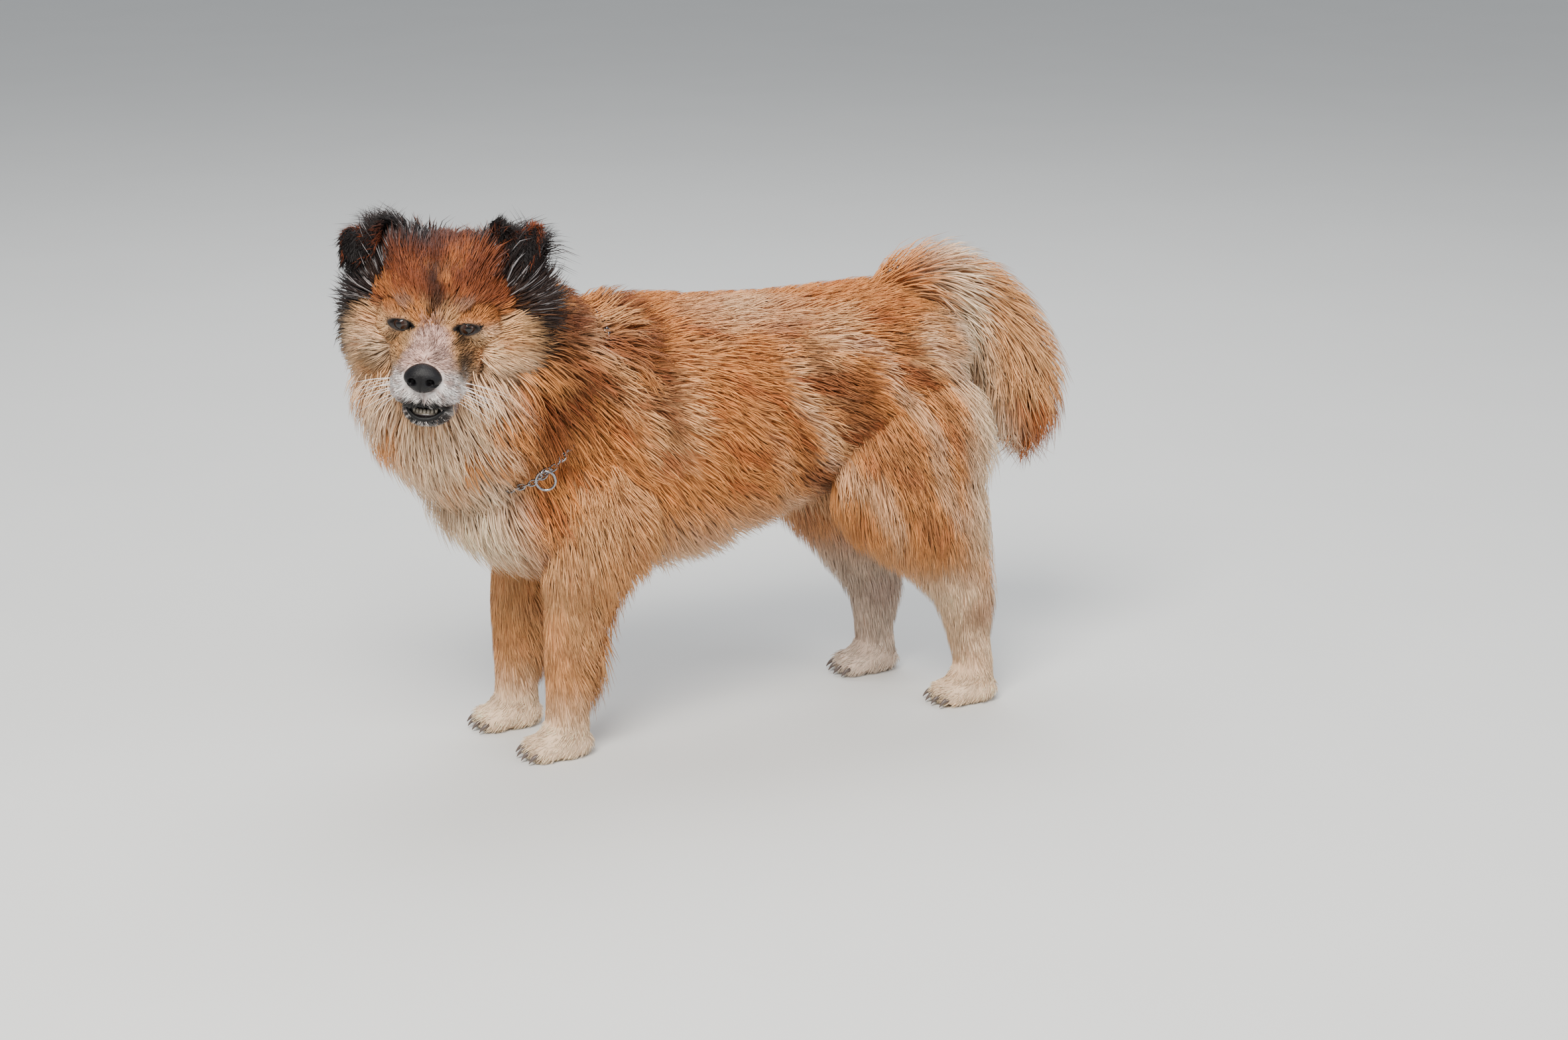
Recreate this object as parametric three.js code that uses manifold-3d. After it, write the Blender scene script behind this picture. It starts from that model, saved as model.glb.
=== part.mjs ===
// A life-size standing chow chow with its head turned to its left, a full ruff, breeches, a hanging
// plume of a tail, folded ears, and a chain slip collar. Millimetres, +Z up, the nose end towards -X
// and the dog's left side towards -Y. The origin is on the floor under the middle of the model's box.
import * as THREE from "three";
import { mergeVertices } from "three/addons/utils/BufferGeometryUtils.js";
import Module from "manifold-3d";

const wasm = await Module();
wasm.setup();

// Driving dimensions
const WITHERS = 520; // top of the body under the coat's tips
const COAT = 0; // extra thickness of the plain form
const CUT = 0.5; // gap between neighbouring nodes
const SEAT_GAP = 0.35; // gap round an eye, the nose or the collar
const EYE_RADIUS = 11.5;
const EYE_SPACING = 72;
const MUZZLE_WIDTH = 78;
const NOSE_WIDTH = 41;
const EAR_WIDTH = 52; // across its root
const HEAD_TURN = 60; // degrees from straight ahead to the dog's left
const HEAD_ROLL = -3;
const SKULL = new THREE.Vector3(-376, -73, 537); // middle of the brain case
const COLLAR_RADIUS = 3.6;
const RING_RADIUS = 11;
const RING_WIRE = 1.4;

const UP = new THREE.Vector3(0, 0, 1);
const RIGHT = new THREE.Vector3(0, 1, 0);
const vec = (x, y, z) => new THREE.Vector3(x, y, z);

// A seeded draw from 0 to 1.
let drawState = 20771;
function draw() {
  drawState = (drawState + 0x6d2b79f5) | 0;
  let t = Math.imul(drawState ^ (drawState >>> 15), 1 | drawState);
  t = (t + Math.imul(t ^ (t >>> 7), 61 | t)) ^ t;
  return ((t ^ (t >>> 14)) >>> 0) / 4294967296;
}
const vary = (amount) => 1 + amount * (2 * draw() - 1);

// Turns a three.js geometry into a solid.
function solid(geometry) {
  const bare = new THREE.BufferGeometry();
  bare.setAttribute("position", geometry.getAttribute("position"));
  bare.setIndex(geometry.index);
  const merged = mergeVertices(bare, 1e-3);
  return new wasm.Manifold(
    new wasm.Mesh({
      numProp: 3,
      vertProperties: new Float32Array(merged.attributes.position.array),
      triVerts: new Uint32Array(merged.index.array),
    }),
  );
}

// Turns a solid back into a geometry.
function geometryOf(made) {
  const mesh = made.getMesh();
  const out = new THREE.BufferGeometry();
  out.setAttribute("position", new THREE.BufferAttribute(mesh.vertProperties, 3));
  out.setIndex(new THREE.BufferAttribute(mesh.triVerts, 1));
  return out;
}

const join = (list) => wasm.Manifold.union(list);

// The largest closed surface of a solid, by volume.
function largest(made) {
  const bodies = made.decompose();
  bodies.sort((a, b) => b.volume() - a.volume());
  return bodies[0];
}

// Moves each vertex of a geometry by a function of its position.
function reshape(geometry, place) {
  const at = geometry.getAttribute("position");
  const p = new THREE.Vector3();
  for (let i = 0; i < at.count; i++) {
    p.fromBufferAttribute(at, i);
    const q = place(p);
    at.setXYZ(i, q.x, q.y, q.z);
  }
  return geometry;
}

// A Catmull-Rom value through a list of numbers, at t from 0 to 1.
function through(values, t) {
  const span = values.length - 1;
  const i = Math.min(Math.floor(t * span), span - 1);
  const f = t * span - i;
  const [a, b] = [values[i], values[i + 1]];
  const before = values[Math.max(i - 1, 0)];
  const after = values[Math.min(i + 2, span)];
  const [m0, m1] = [(b - before) / 2, (after - a) / 2];
  return (
    (2 * f ** 3 - 3 * f ** 2 + 1) * a +
    (f ** 3 - 2 * f ** 2 + f) * m0 +
    (-2 * f ** 3 + 3 * f ** 2) * b +
    (f ** 3 - f ** 2) * m1
  );
}

// A closed body with oval sections along a smooth line. Each station is
// [x, y, z, half depth across the line, half width along side].
function loft(stations, sides, rings, side = RIGHT, coat = COAT) {
  const line = new THREE.CatmullRomCurve3(stations.map(([x, y, z]) => vec(x, y, z)));
  const depths = stations.map((s) => s[3]);
  const widths = stations.map((s) => s[4]);
  const tube = new THREE.CylinderGeometry(1, 1, 1, sides, rings);
  return reshape(tube, (p) => {
    const t = THREE.MathUtils.clamp(0.5 - p.y, 0, 1);
    const along = line.getTangent(t);
    const across = side.clone().addScaledVector(along, -side.dot(along)).normalize();
    const over = new THREE.Vector3().crossVectors(along, across);
    return line
      .getPoint(t)
      .addScaledVector(across, p.x * (through(widths, t) + coat))
      .addScaledVector(over, p.z * (through(depths, t) + coat));
  });
}

// An oval ball.
function ball(centre, half, columns = 16, rows = 12) {
  const g = new THREE.SphereGeometry(1, columns, rows);
  return g.scale(half.x, half.y, half.z).translate(centre.x, centre.y, centre.z);
}

// The head's own frame: +X to the nose, +Y to the dog's left, +Z up, origin at SKULL.
const headTurn = THREE.MathUtils.degToRad(HEAD_TURN);
const noseward = vec(-Math.cos(headTurn), -Math.sin(headTurn), 0);
const headLeft = new THREE.Vector3().crossVectors(UP, noseward);
const headFrame = new THREE.Matrix4()
  .makeBasis(noseward, headLeft, UP)
  .setPosition(SKULL)
  .multiply(new THREE.Matrix4().makeRotationX(THREE.MathUtils.degToRad(HEAD_ROLL)));
const inHead = (geometry) => geometry.applyMatrix4(headFrame);

// Torso: stations as [x, top, bottom, half width], measured under the coat.
const TORSO = [
  [-366, 362, 304, 30],
  [-342, 418, 262, 76],
  [-290, 474, 230, 104],
  [-215, 514, 222, 122],
  [-115, WITHERS, 228, 132],
  [-30, WITHERS - 6, 252, 130],
  [60, WITHERS - 10, 280, 120],
  [140, WITHERS - 8, 306, 116],
  [205, WITHERS - 8, 336, 106],
  [255, WITHERS - 34, 384, 80],
  [280, WITHERS - 74, 420, 40],
];
const torso = loft(
  TORSO.map(([x, top, low, half]) => [x, 0, (top + low) / 2, (top - low) / 2, half]),
  18,
  14,
);

// Neck, bending to the dog's left, with stations as loft has them.
const neck = loft(
  [
    [-170, 0, 425, 90, 96],
    [-238, -8, 420, 114, 110],
    [-304, -28, 440, 124, 108],
    [-356, -52, 484, 112, 98],
    [-392, -76, 522, 74, 76],
  ],
  18,
  9,
  vec(0.25, 1, 0).normalize(),
);

// Legs, from shoulder or hip to just above the sole.
const foreLeft = [
  [-196, -72, 410, 62, 36],
  [-200, -82, 330, 68, 44],
  [-214, -80, 265, 54, 38],
  [-229, -74, 214, 40, 32],
  [-238, -69, 168, 32, 27],
  [-241, -66, 120, 28, 25],
  [-242, -64, 76, 26, 24],
  [-243, -63, 44, 27, 26],
  [-247, -62, 20, 33, 30],
];
const foreRight = foreLeft.map(([x, y, z, d, w], i) => [x - Math.min(i, 4) * 4.5, -y, z, d, w]);
const hindLeft = [
  [192, -52, 430, 74, 46],
  [184, -66, 355, 96, 58],
  [188, -70, 304, 94, 56],
  [208, -74, 252, 73, 46],
  [232, -77, 205, 52, 35],
  [252, -79, 166, 38, 28],
  [264, -79, 135, 33, 26],
  [273, -78, 96, 27, 23],
  [280, -78, 58, 25, 24],
  [276, -78, 22, 31, 30],
];
const hindRight = [
  [180, 52, 430, 72, 46],
  [164, 66, 350, 90, 57],
  [158, 70, 290, 80, 52],
  [166, 73, 236, 61, 42],
  [183, 75, 186, 45, 33],
  [207, 76, 144, 37, 27],
  [219, 76, 108, 33, 25],
  [219, 75, 70, 26, 23],
  [221, 75, 44, 26, 24],
  [216, 75, 20, 32, 30],
];

// A paw: a low pad with four toes, its sole flat on the floor.
function paw(x, y) {
  const pieces = [ball(vec(x + 4, y, 15), vec(37, 29, 21), 10, 6)];
  for (let toe = 0; toe < 4; toe++) {
    const off = toe - 1.5;
    const ahead = 31 - 4 * Math.abs(off);
    pieces.push(ball(vec(x - ahead, y + off * 14, 12), vec(17, 8.5, 13), 6, 4));
  }
  return pieces;
}
const PAWS = {
  fore_left: [-250, -62],
  fore_right: [-268, 62],
  hind_left: [272, -78],
  hind_right: [212, 75],
};

// Tail: up off the croup, over, and down behind the thighs.
const TAIL = [
  [190, 2, 494, 24, 24],
  [236, 0, 510, 26, 27],
  [286, -3, 496, 31, 32],
  [330, -6, 456, 36, 36],
  [358, -8, 408, 39, 38],
  [370, -9, 360, 34, 33],
  [371, -9, 334, 18, 18],
];
const tail = loft(TAIL, 12, 9);

// Head: brain case, brow, cheeks, muzzle and jaw in the head's own frame.
const CHEEK = vec(2, 54, -22);
const headPieces = [
  ball(vec(-2, 0, 9), vec(82, 77, 70), 14, 9),
  ball(vec(-12, 60, 18), vec(48, 34, 46), 9, 6),
  ball(vec(-12, -60, 18), vec(48, 34, 46), 9, 6),
  ball(vec(34, 0, 26), vec(43, 57, 38), 10, 7),
  ball(CHEEK, vec(58, 42, 52), 10, 7),
  ball(CHEEK.clone().multiply(vec(1, -1, 1)), vec(58, 42, 52), 10, 7),
  loft(
    [
      [20, 0, -26, 52, 56],
      [56, 0, -34, 43, 46],
      [84, 0, -44, 36, MUZZLE_WIDTH / 2],
      [106, 0, -49, 33, MUZZLE_WIDTH / 2],
      [120, 0, -50, 27, 31],
      [126, 0, -50, 17, 20],
    ],
    14,
    7,
  ),
  ball(vec(90, 0, -80), vec(32, 27, 19), 10, 6),
];
const EYE = vec(64, EYE_SPACING / 2, 4);
const eyeAt = (sign) => vec(EYE.x, sign * EYE.y, EYE.z);
const browPieces = [1, -1].map((sign) =>
  ball(eyeAt(sign).add(vec(-8, 4 * sign, 0)), vec(14.5, 19, 15), 10, 6),
);
const NOSE = vec(125, 0, -42);

// The folded ears: leaves that rise outwards from the skull and drop over in front at a fold. The left
// one's fold lies level, and the right one's slopes down outwards. Each has the line down its middle
// and the way its width runs at its root and at its tip.
const EARS = {
  left: {
    line: [vec(-8, 46, 54), vec(-6, 60, 80), vec(2, 74, 97), vec(14, 82, 90), vec(20, 86, 66)],
    across: [vec(0, 0.9, -0.3), vec(0, 1, 0.4)],
  },
  right: {
    line: [vec(-8, 48, 54), vec(-6, 66, 76), vec(2, 84, 86), vec(14, 97, 79), vec(21, 105, 59)],
    across: [vec(0, 0.8, -0.6), vec(0, 1, 0)],
  },
};
const EAR_HALF = [EAR_WIDTH / 2, EAR_WIDTH / 2, EAR_WIDTH / 2, EAR_WIDTH * 0.42, 8];
function ear(sign, grow) {
  const { line: spots, across } = sign > 0 ? EARS.left : EARS.right;
  const line = new THREE.CatmullRomCurve3(spots);
  const leaf = new THREE.CylinderGeometry(1, 1, 1, 10, 8);
  return reshape(leaf, (p) => {
    const t = THREE.MathUtils.clamp(0.5 + p.y, 0, 1);
    const along = line.getTangent(t);
    const wide = across[0].clone().lerp(across[1], t);
    wide.addScaledVector(along, -wide.dot(along)).normalize();
    const thick = new THREE.Vector3().crossVectors(along, wide);
    const half = through(EAR_HALF, t) + grow;
    const q = line
      .getPoint(t)
      .addScaledVector(wide, -sign * half * p.x)
      .addScaledVector(thick, (4.4 - 2 * t + grow) * p.z + 5 * (p.x * p.x - 0.4) * (1 - t));
    return vec(q.x, sign * q.y, q.z);
  });
}

// The whole body under its coat.
const pawPieces = Object.values(PAWS).flatMap(([x, y]) => paw(x, y));
const legLofts = [foreLeft, foreRight, hindLeft, hindRight].map((s) => loft(s, 9, 10));
const bodyPieces = [torso, neck, tail, ...legLofts, ...pawPieces];
const headSolids = [...headPieces, ...browPieces].map((g) => solid(inHead(g)));
const core = join([...bodyPieces.map(solid), ...headSolids]);

// Where a ray meets the coatless body, as a point and its outward normal.
const target = new THREE.Mesh(geometryOf(core).toNonIndexed());
target.material.side = THREE.DoubleSide;
const caster = new THREE.Raycaster();
function surface(from, towards) {
  caster.set(from, towards.clone().normalize());
  const hit = caster.intersectObject(target, false)[0];
  return hit ? { point: hit.point, normal: hit.face.normal.clone() } : null;
}

// The collar's line: a loop round the neck's base, resting on the body, lowest where its ring hangs.
const RING_SPOT = vec(-292, -110, 358);
const collarNormal = vec(0.71, 0.28, -0.65).normalize(); // points out of the loop, down the chest
const COLLAR_CENTRE = vec(-254, -14, 434);
COLLAR_CENTRE.addScaledVector(collarNormal, RING_SPOT.clone().sub(COLLAR_CENTRE).dot(collarNormal));
const collarDown = RING_SPOT.clone().sub(COLLAR_CENTRE).normalize();
const collarAcross = new THREE.Vector3().crossVectors(collarNormal, collarDown);
const COLLAR_STEPS = 48;
const collarReach = Array.from({ length: COLLAR_STEPS }, (_, i) => {
  const turn = (i / COLLAR_STEPS) * 2 * Math.PI;
  const out = collarAcross
    .clone()
    .multiplyScalar(Math.sin(turn))
    .addScaledVector(collarDown, Math.cos(turn));
  const from = COLLAR_CENTRE.clone().addScaledVector(out, 400);
  return surface(from, out.clone().negate()).point.distanceTo(COLLAR_CENTRE);
});
const RING_TURN = THREE.MathUtils.degToRad(-7); // where the ring hangs, and pulls the chain out
const RING_PULL = 20;
const angleFrom = (a, b) => Math.atan2(Math.sin(a - b), Math.cos(a - b));
function collarPoint(turn, extra = 0) {
  const place = ((((turn / (2 * Math.PI)) % 1) + 1) % 1) * COLLAR_STEPS;
  let reach = 0;
  for (let k = -3; k <= 3; k++) {
    const i = Math.floor(place) + k;
    const share = Math.max(0, 1 - Math.abs(place - i) / 3) / 3;
    reach += share * collarReach[((i % COLLAR_STEPS) + COLLAR_STEPS) % COLLAR_STEPS];
  }
  reach += RING_PULL * Math.exp(-(angleFrom(turn, RING_TURN) ** 2) / 0.12);
  return COLLAR_CENTRE.clone()
    .addScaledVector(collarAcross, (reach + extra) * Math.sin(turn))
    .addScaledVector(collarDown, (reach + extra) * Math.cos(turn));
}

// A flat, tapered lock: it leaves the skin low, follows the lie, and droops by sag at its tip.
function lock(point, normal, lie, size) {
  const flow = lie.clone().addScaledVector(normal, -lie.dot(normal)).normalize();
  const wide = new THREE.Vector3().crossVectors(flow, normal).normalize();
  const swing = 0.22 * (2 * draw() - 1);
  const cone = new THREE.ConeGeometry(1, 1, 4, 3);
  const [length, width] = [size.length * vary(0.16), size.width * vary(0.14)];
  return reshape(cone, (p) => {
    const t = THREE.MathUtils.clamp(p.y + 0.5, 0, 1);
    const taper = Math.max(1 - t, 1e-6);
    const full = width * Math.min(1, 0.72 + 0.9 * t) * Math.min(1, 1.55 * taper);
    const high = size.lift * Math.sin(Math.min(1, 1.25 * t) * Math.PI * 0.5);
    return point
      .clone()
      .addScaledVector(normal, high - size.sink * (1 - t) ** 2)
      .addScaledVector(flow, length * (t - 0.12))
      .addScaledVector(wide, length * swing * t * t)
      .addScaledVector(UP, -(size.sag ?? 0) * t * t)
      .addScaledVector(wide, (p.x / taper) * full * 0.5)
      .addScaledVector(normal, (p.z / taper) * size.thick * 0.5 * Math.min(1, 2 * taper));
  });
}

const locks = [];
function plant(from, towards, lieOf, size) {
  const hit = surface(from, towards);
  if (hit) locks.push(lock(hit.point, hit.normal, lieOf(hit.point, hit.normal), size));
}

// Rows of locks round a line of stations [x, y, z]. Each turn is in degrees: 0 at the top, 90 on the
// dog's right, 180 below. axis is the way the line runs there.
function rows(line, turns, axis, lieOf, size) {
  const top = UP.clone().addScaledVector(axis, -axis.z).normalize();
  const across = new THREE.Vector3().crossVectors(axis, top).negate();
  line.forEach(([x, y, z], row) => {
    for (const turn of turns) {
      const shift = row % 2 ? (turns[1] - turns[0]) / 2 : 0;
      const angle = THREE.MathUtils.degToRad(turn + shift + 4 * (2 * draw() - 1));
      const out = top
        .clone()
        .multiplyScalar(Math.cos(angle))
        .addScaledVector(across, Math.sin(angle));
      const from = vec(x + 6 * (2 * draw() - 1), y, z).addScaledVector(out, 300);
      plant(from, out.clone().negate(), lieOf, size);
    }
  });
}
const spread = (low, high, count) =>
  Array.from({ length: count }, (_, i) => low + ((high - low) * i) / Math.max(count - 1, 1));

// The body's long coat: locks lie back and down.
const bodyLie = (p) => vec(1, Math.sign(p.y) * 0.1, p.z > WITHERS - 60 ? -0.12 : -0.5);
rows(
  spread(-185, 172, 6).map((x) => [x, 0, 400]),
  spread(-118, 118, 6),
  vec(1, 0, 0),
  bodyLie,
  { length: 116, width: 84, thick: 16, sink: 10, lift: 13 },
);

// The belly's fringe, in a line under each side.
for (const side of [-1, 1]) {
  for (const x of spread(-125, 55, 4)) {
    plant(vec(x, side * (70 + 12 * draw()), 0), UP, () => vec(0.8, side * 0.25, -0.6), {
      length: 70,
      width: 50,
      thick: 14,
      sink: 12,
      lift: 13,
      sag: 18,
    });
  }
}

// The ruff: rows round the neck, lying down and back from the cheeks to the shoulders.
const NECK_AXIS = vec(-0.84, -0.33, 0.43);
const ruffLie = (p) => vec(0.84, 0.33, p.z > 500 ? -0.53 : -1.13);
rows(
  [
    [-370, -64, 498],
    [-334, -44, 464],
    [-286, -24, 436],
  ],
  spread(0, 320, 9),
  NECK_AXIS,
  ruffLie,
  { length: 84, width: 62, thick: 16, sink: 13, lift: 20, sag: 6 },
);

// The chest's front, down to the elbows.
spread(-44, 44, 3).forEach((y) => {
  spread(370, 270, 3).forEach((z, row) => {
    plant(vec(-600, y + (row % 2 ? 20 : 0), z), vec(1, 0, 0), () => vec(0.15, 0, -1), {
      length: 76,
      width: 48,
      thick: 14,
      sink: 12,
      lift: 19,
    });
  });
});

// Cheek ruffs, fanning back from the face on both sides of the head.
for (const side of [-1, 1]) {
  spread(26, -80, 4).forEach((z, row) => {
    const from = vec(row % 2 ? -26 : -4, side * 300, z).applyMatrix4(headFrame);
    const to = vec(0, 0, z).applyMatrix4(headFrame).sub(from);
    const back = vec(-0.8, side * 0.25, -0.5).transformDirection(headFrame);
    plant(from, to, () => back, { length: 62, width: 50, thick: 13, sink: 11, lift: 14, sag: 4 });
  });
}

// The tail's plume: locks follow the tail over and down.
for (let row = 2; row < TAIL.length - 1; row++) {
  const [a, b] = [TAIL[row - 1], TAIL[row + 1]].map(([x, y, z]) => vec(x, y, z));
  const axis = b.sub(a).normalize();
  const size = { length: 76, width: 54, thick: 14, sink: 12, lift: 10, sag: 10 };
  rows([TAIL[row]], spread(20 + 40 * (row % 2), 290 + 40 * (row % 2), 4), axis, () => axis, size);
}

// Thighs and breeches: long locks on the back of the hind legs, wide ones on their sides.
for (const side of [-1, 1]) {
  const ahead = side > 0 ? 46 : 0; // the right hind leg stands further forward and lower
  spread(396, 190, 4).forEach((z, row) => {
    for (const y of row < 3 ? [56, 96] : [78]) {
      plant(vec(600, side * y, z - ahead / 2), vec(-1, 0, 0), () => vec(0.25, 0, -0.97), {
        length: 70 - 6 * row,
        width: 42 - 4 * row,
        thick: 14,
        sink: 11,
        lift: 15,
      });
    }
  });
  spread(340, 190, 3).forEach((z, row) => {
    for (const x of [166 + 18 * row, 228 + 12 * row]) {
      plant(vec(x - ahead, side * 400, z - ahead / 2), vec(0, -side, 0), () => vec(0.4, 0, -0.9), {
        length: 84 - 10 * row,
        width: 58 - 10 * row,
        thick: 14,
        sink: 12,
        lift: 12,
      });
    }
  });
  plant(vec(600, side * 78, 140 - ahead / 2), vec(-1, 0, 0), () => vec(0.2, 0, -0.98), {
    length: 46,
    width: 28,
    thick: 11,
    sink: 10,
    lift: 9,
  });
}

// Fore legs: a feather down the back of each, and shoulder locks above it.
for (const side of [-1, 1]) {
  for (const z of spread(256, 104, 4)) {
    const drop = (256 - z) / 152;
    plant(vec(0, side * (76 + 6 * draw()), z), vec(-1, 0, 0), () => vec(0.75, 0, -0.7), {
      length: 66 - 28 * drop,
      width: 36 - 12 * drop,
      thick: 12,
      sink: 11,
      lift: 17 - 8 * drop,
    });
  }
  for (const [x, z] of [
    [-210, 312],
    [-244, 282],
    [-212, 252],
  ]) {
    plant(vec(x, side * 400, z), vec(0, -side, 0), () => vec(0.5, 0, -0.86), {
      length: 76,
      width: 54,
      thick: 14,
      sink: 12,
      lift: 12,
    });
  }
}

const whole = join([core, ...locks.map(solid)]);

// A big box on one side of a plane, moved out by grow, to cut with.
function side(point, normal, grow = 0) {
  const box = new THREE.BoxGeometry(2000, 2000, 2000).translate(0, 0, 1000 - grow);
  const turn = new THREE.Quaternion().setFromUnitVectors(UP, normal.clone().normalize());
  return solid(box.applyQuaternion(turn).translate(point.x, point.y, point.z));
}
const block = (low, high) =>
  solid(
    new THREE.BoxGeometry(high.x - low.x, high.y - low.y, high.z - low.z).translate(
      (low.x + high.x) / 2,
      (low.y + high.y) / 2,
      (low.z + high.z) / 2,
    ),
  );

const model = new THREE.Group();
function add(name, made, colour, roughness = 0.9, metalness = 0) {
  const material = new THREE.MeshStandardMaterial({ color: colour, roughness, metalness });
  const mesh = new THREE.Mesh(geometryOf(largest(made)), material);
  mesh.name = name;
  model.add(mesh);
}

// Eyes, nose, teeth and collar, and the room each takes out of the body.
const eyes = [1, -1].map((sign) => inHead(ball(eyeAt(sign), vec(1, 1, 1).multiplyScalar(EYE_RADIUS), 10, 7)));
const eyeRooms = [1, -1].map((sign) =>
  inHead(ball(eyeAt(sign), vec(1, 1, 1).multiplyScalar(EYE_RADIUS + SEAT_GAP), 10, 7)),
);

const noseForm = (grow) => {
  const half = vec(13 + grow, NOSE_WIDTH / 2 + grow, 15 + grow);
  const g = ball(NOSE, half, 10, 7);
  return inHead(
    reshape(g, (p) => {
      const down = (NOSE.z - p.z) / half.z;
      return vec(p.x, p.y * (1 - 0.22 * down), p.z);
    }),
  );
};
const nostrils = [1, -1].map((sign) =>
  solid(inHead(ball(vec(137, sign * 9.5, -44), vec(7, 4.4, 4), 6, 5))),
);
const mouthCut = solid(inHead(ball(vec(126, 0, -80), vec(24, 23, 7), 12, 6)));
const lipSlits = [1, -1].map((sign) =>
  solid(inHead(ball(vec(96, sign * 33, -73), vec(34, 12, 2.2), 8, 4))),
);

// Lower front teeth on their gum.
function teethForm(grow) {
  const pieces = [ball(vec(108.5, 0, -83.2), vec(7 + grow, 15 + grow, 2.6 + grow), 7, 3)];
  for (let i = -3; i <= 3; i++) {
    const tall = Math.abs(i) === 3;
    const at = vec(112.5 - 0.35 * i * i, i * 4, tall ? -78.6 : -80.4);
    pieces.push(ball(at, vec(2 + grow, 1.9 + grow, (tall ? 4.2 : 2.8) + grow), 4, 3));
  }
  return join(pieces.map((g) => solid(inHead(g))));
}
const mouthRoom = [mouthCut, ...lipSlits, teethForm(SEAT_GAP)];

// The chain as one beaded loop, with every bead a link.
const LINKS = 48;
function chain(grow) {
  const loop = new THREE.TorusGeometry(1, 0.5, 4, grow ? LINKS : LINKS * 1.5);
  return reshape(loop, (p) => {
    const turn = Math.atan2(p.y, p.x);
    const out = Math.hypot(p.x, p.y) - 1;
    const bead = 1 + 0.22 * Math.cos(turn * LINKS);
    const radius = (grow ? COLLAR_RADIUS * 1.22 + grow : COLLAR_RADIUS * bead) * 2;
    return collarPoint(turn, out * radius).addScaledVector(collarNormal, p.z * radius);
  });
}

// The pull ring, hanging on the left of the chest.
const ringRoot = collarPoint(RING_TURN, COLLAR_RADIUS + 4);
const ringForm = (drop, out, grow, tilt) =>
  new THREE.TorusGeometry(RING_RADIUS, RING_WIRE + grow, 5, 16)
    .rotateX(Math.PI / 2)
    .rotateZ(THREE.MathUtils.degToRad(tilt))
    .translate(ringRoot.x + out.x, ringRoot.y + out.y, ringRoot.z + out.z - drop);

const collar = join([solid(chain(0)), solid(ringForm(RING_RADIUS + 1, vec(-2, -5, 0), 0, -24))]);
const collarRoom = join([
  solid(chain(SEAT_GAP)),
  solid(ringForm(RING_RADIUS + 1, vec(-2, -5, 0), SEAT_GAP, -24)),
]);

const ears = [1, -1].map((sign) => solid(inHead(ear(sign, 0))));
const earRooms = [1, -1].map((sign) => solid(inHead(ear(sign, SEAT_GAP))));

let flesh = whole;
const rooms = [
  ...eyeRooms.map(solid),
  solid(noseForm(SEAT_GAP)),
  ...mouthRoom,
  collarRoom,
  ...earRooms,
  block(vec(-900, -900, -400), vec(900, 900, 0)),
];
for (const room of rooms) flesh = flesh.subtract(room);

// The regions that part the body, in the order they are cut off. Each grows by a gap, so that what
// is left clears the part before it.
const legRegion = (low, high, at, facing) => (gap) =>
  side(at, facing, gap).intersect(block(low.clone().subScalar(gap), high.clone().addScalar(gap)));
const backOfSkull = SKULL.clone().add(vec(26, 30, -44));
const regions = [
  ["head", 0xb5793f, (gap) => side(backOfSkull, vec(-0.62, -0.42, 0.66), gap)],
  ["neck", 0xb9783f, (gap) => side(vec(-262, -10, 420), vec(-0.86, -0.22, 0.46), gap)],
  [
    "tail",
    0xd0a070,
    (gap) =>
      join([
        side(vec(238, 0, 494), vec(0.72, 0, 0.69), gap).intersect(
          block(vec(214 - gap, -90, 430), vec(600, 90, 700)),
        ),
        block(vec(300 - gap, -110, 280), vec(600, 110, 500)),
      ]),
  ],
  [
    "leg_fore_left",
    0xc08850,
    legRegion(vec(-340, -200, -1), vec(-140, -6, 260), vec(-225, -40, 234), vec(0, -0.35, -0.94)),
  ],
  [
    "leg_fore_right",
    0xc08850,
    legRegion(vec(-340, 6, -1), vec(-140, 200, 260), vec(-225, 40, 234), vec(0, 0.35, -0.94)),
  ],
  ["leg_hind_left", 0xc89058, (gap) => block(vec(140 - gap, -200, -1), vec(340, -3, 188 + gap))],
  ["leg_hind_right", 0xc89058, (gap) => block(vec(110 - gap, 3, -1), vec(320, 200, 168 + gap))],
  [
    "thigh_left",
    0xb87840,
    legRegion(vec(40, -200, -1), vec(320, -3, 420), vec(185, -40, 330), vec(0, -0.45, -0.89)),
  ],
  [
    "thigh_right",
    0xb87840,
    legRegion(vec(40, 3, -1), vec(320, 200, 420), vec(185, 40, 330), vec(0, 0.45, -0.89)),
  ],
  ["chest", 0xb9703a, (gap) => side(vec(-10, 0, 400), vec(-1, 0, 0), gap)],
];
let rest = flesh;
for (const [name, colour, region] of regions) {
  add(name, rest.intersect(region(0)), colour);
  rest = rest.subtract(region(CUT));
}
add("hindquarters", rest, 0xb9703a);

["left", "right"].forEach((name, i) => {
  add(`ear_${name}`, ears[i], 0x2a1c18);
  add(`eye_${name}`, solid(eyes[i]), 0x1a1210, 0.1);
});
add("nose", solid(noseForm(0)).subtract(join(nostrils)), 0x15100f, 0.35);
add("teeth_lower", teethForm(0), 0xd9cfb8, 0.3);
add("collar", collar, 0xb8b8bc, 0.25, 1);

// The origin goes to the floor under the middle of the box.
const box = new THREE.Box3().setFromObject(model);
model.position.set(-(box.min.x + box.max.x) / 2, -(box.min.y + box.max.y) / 2, -box.min.z);

export default model;
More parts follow.
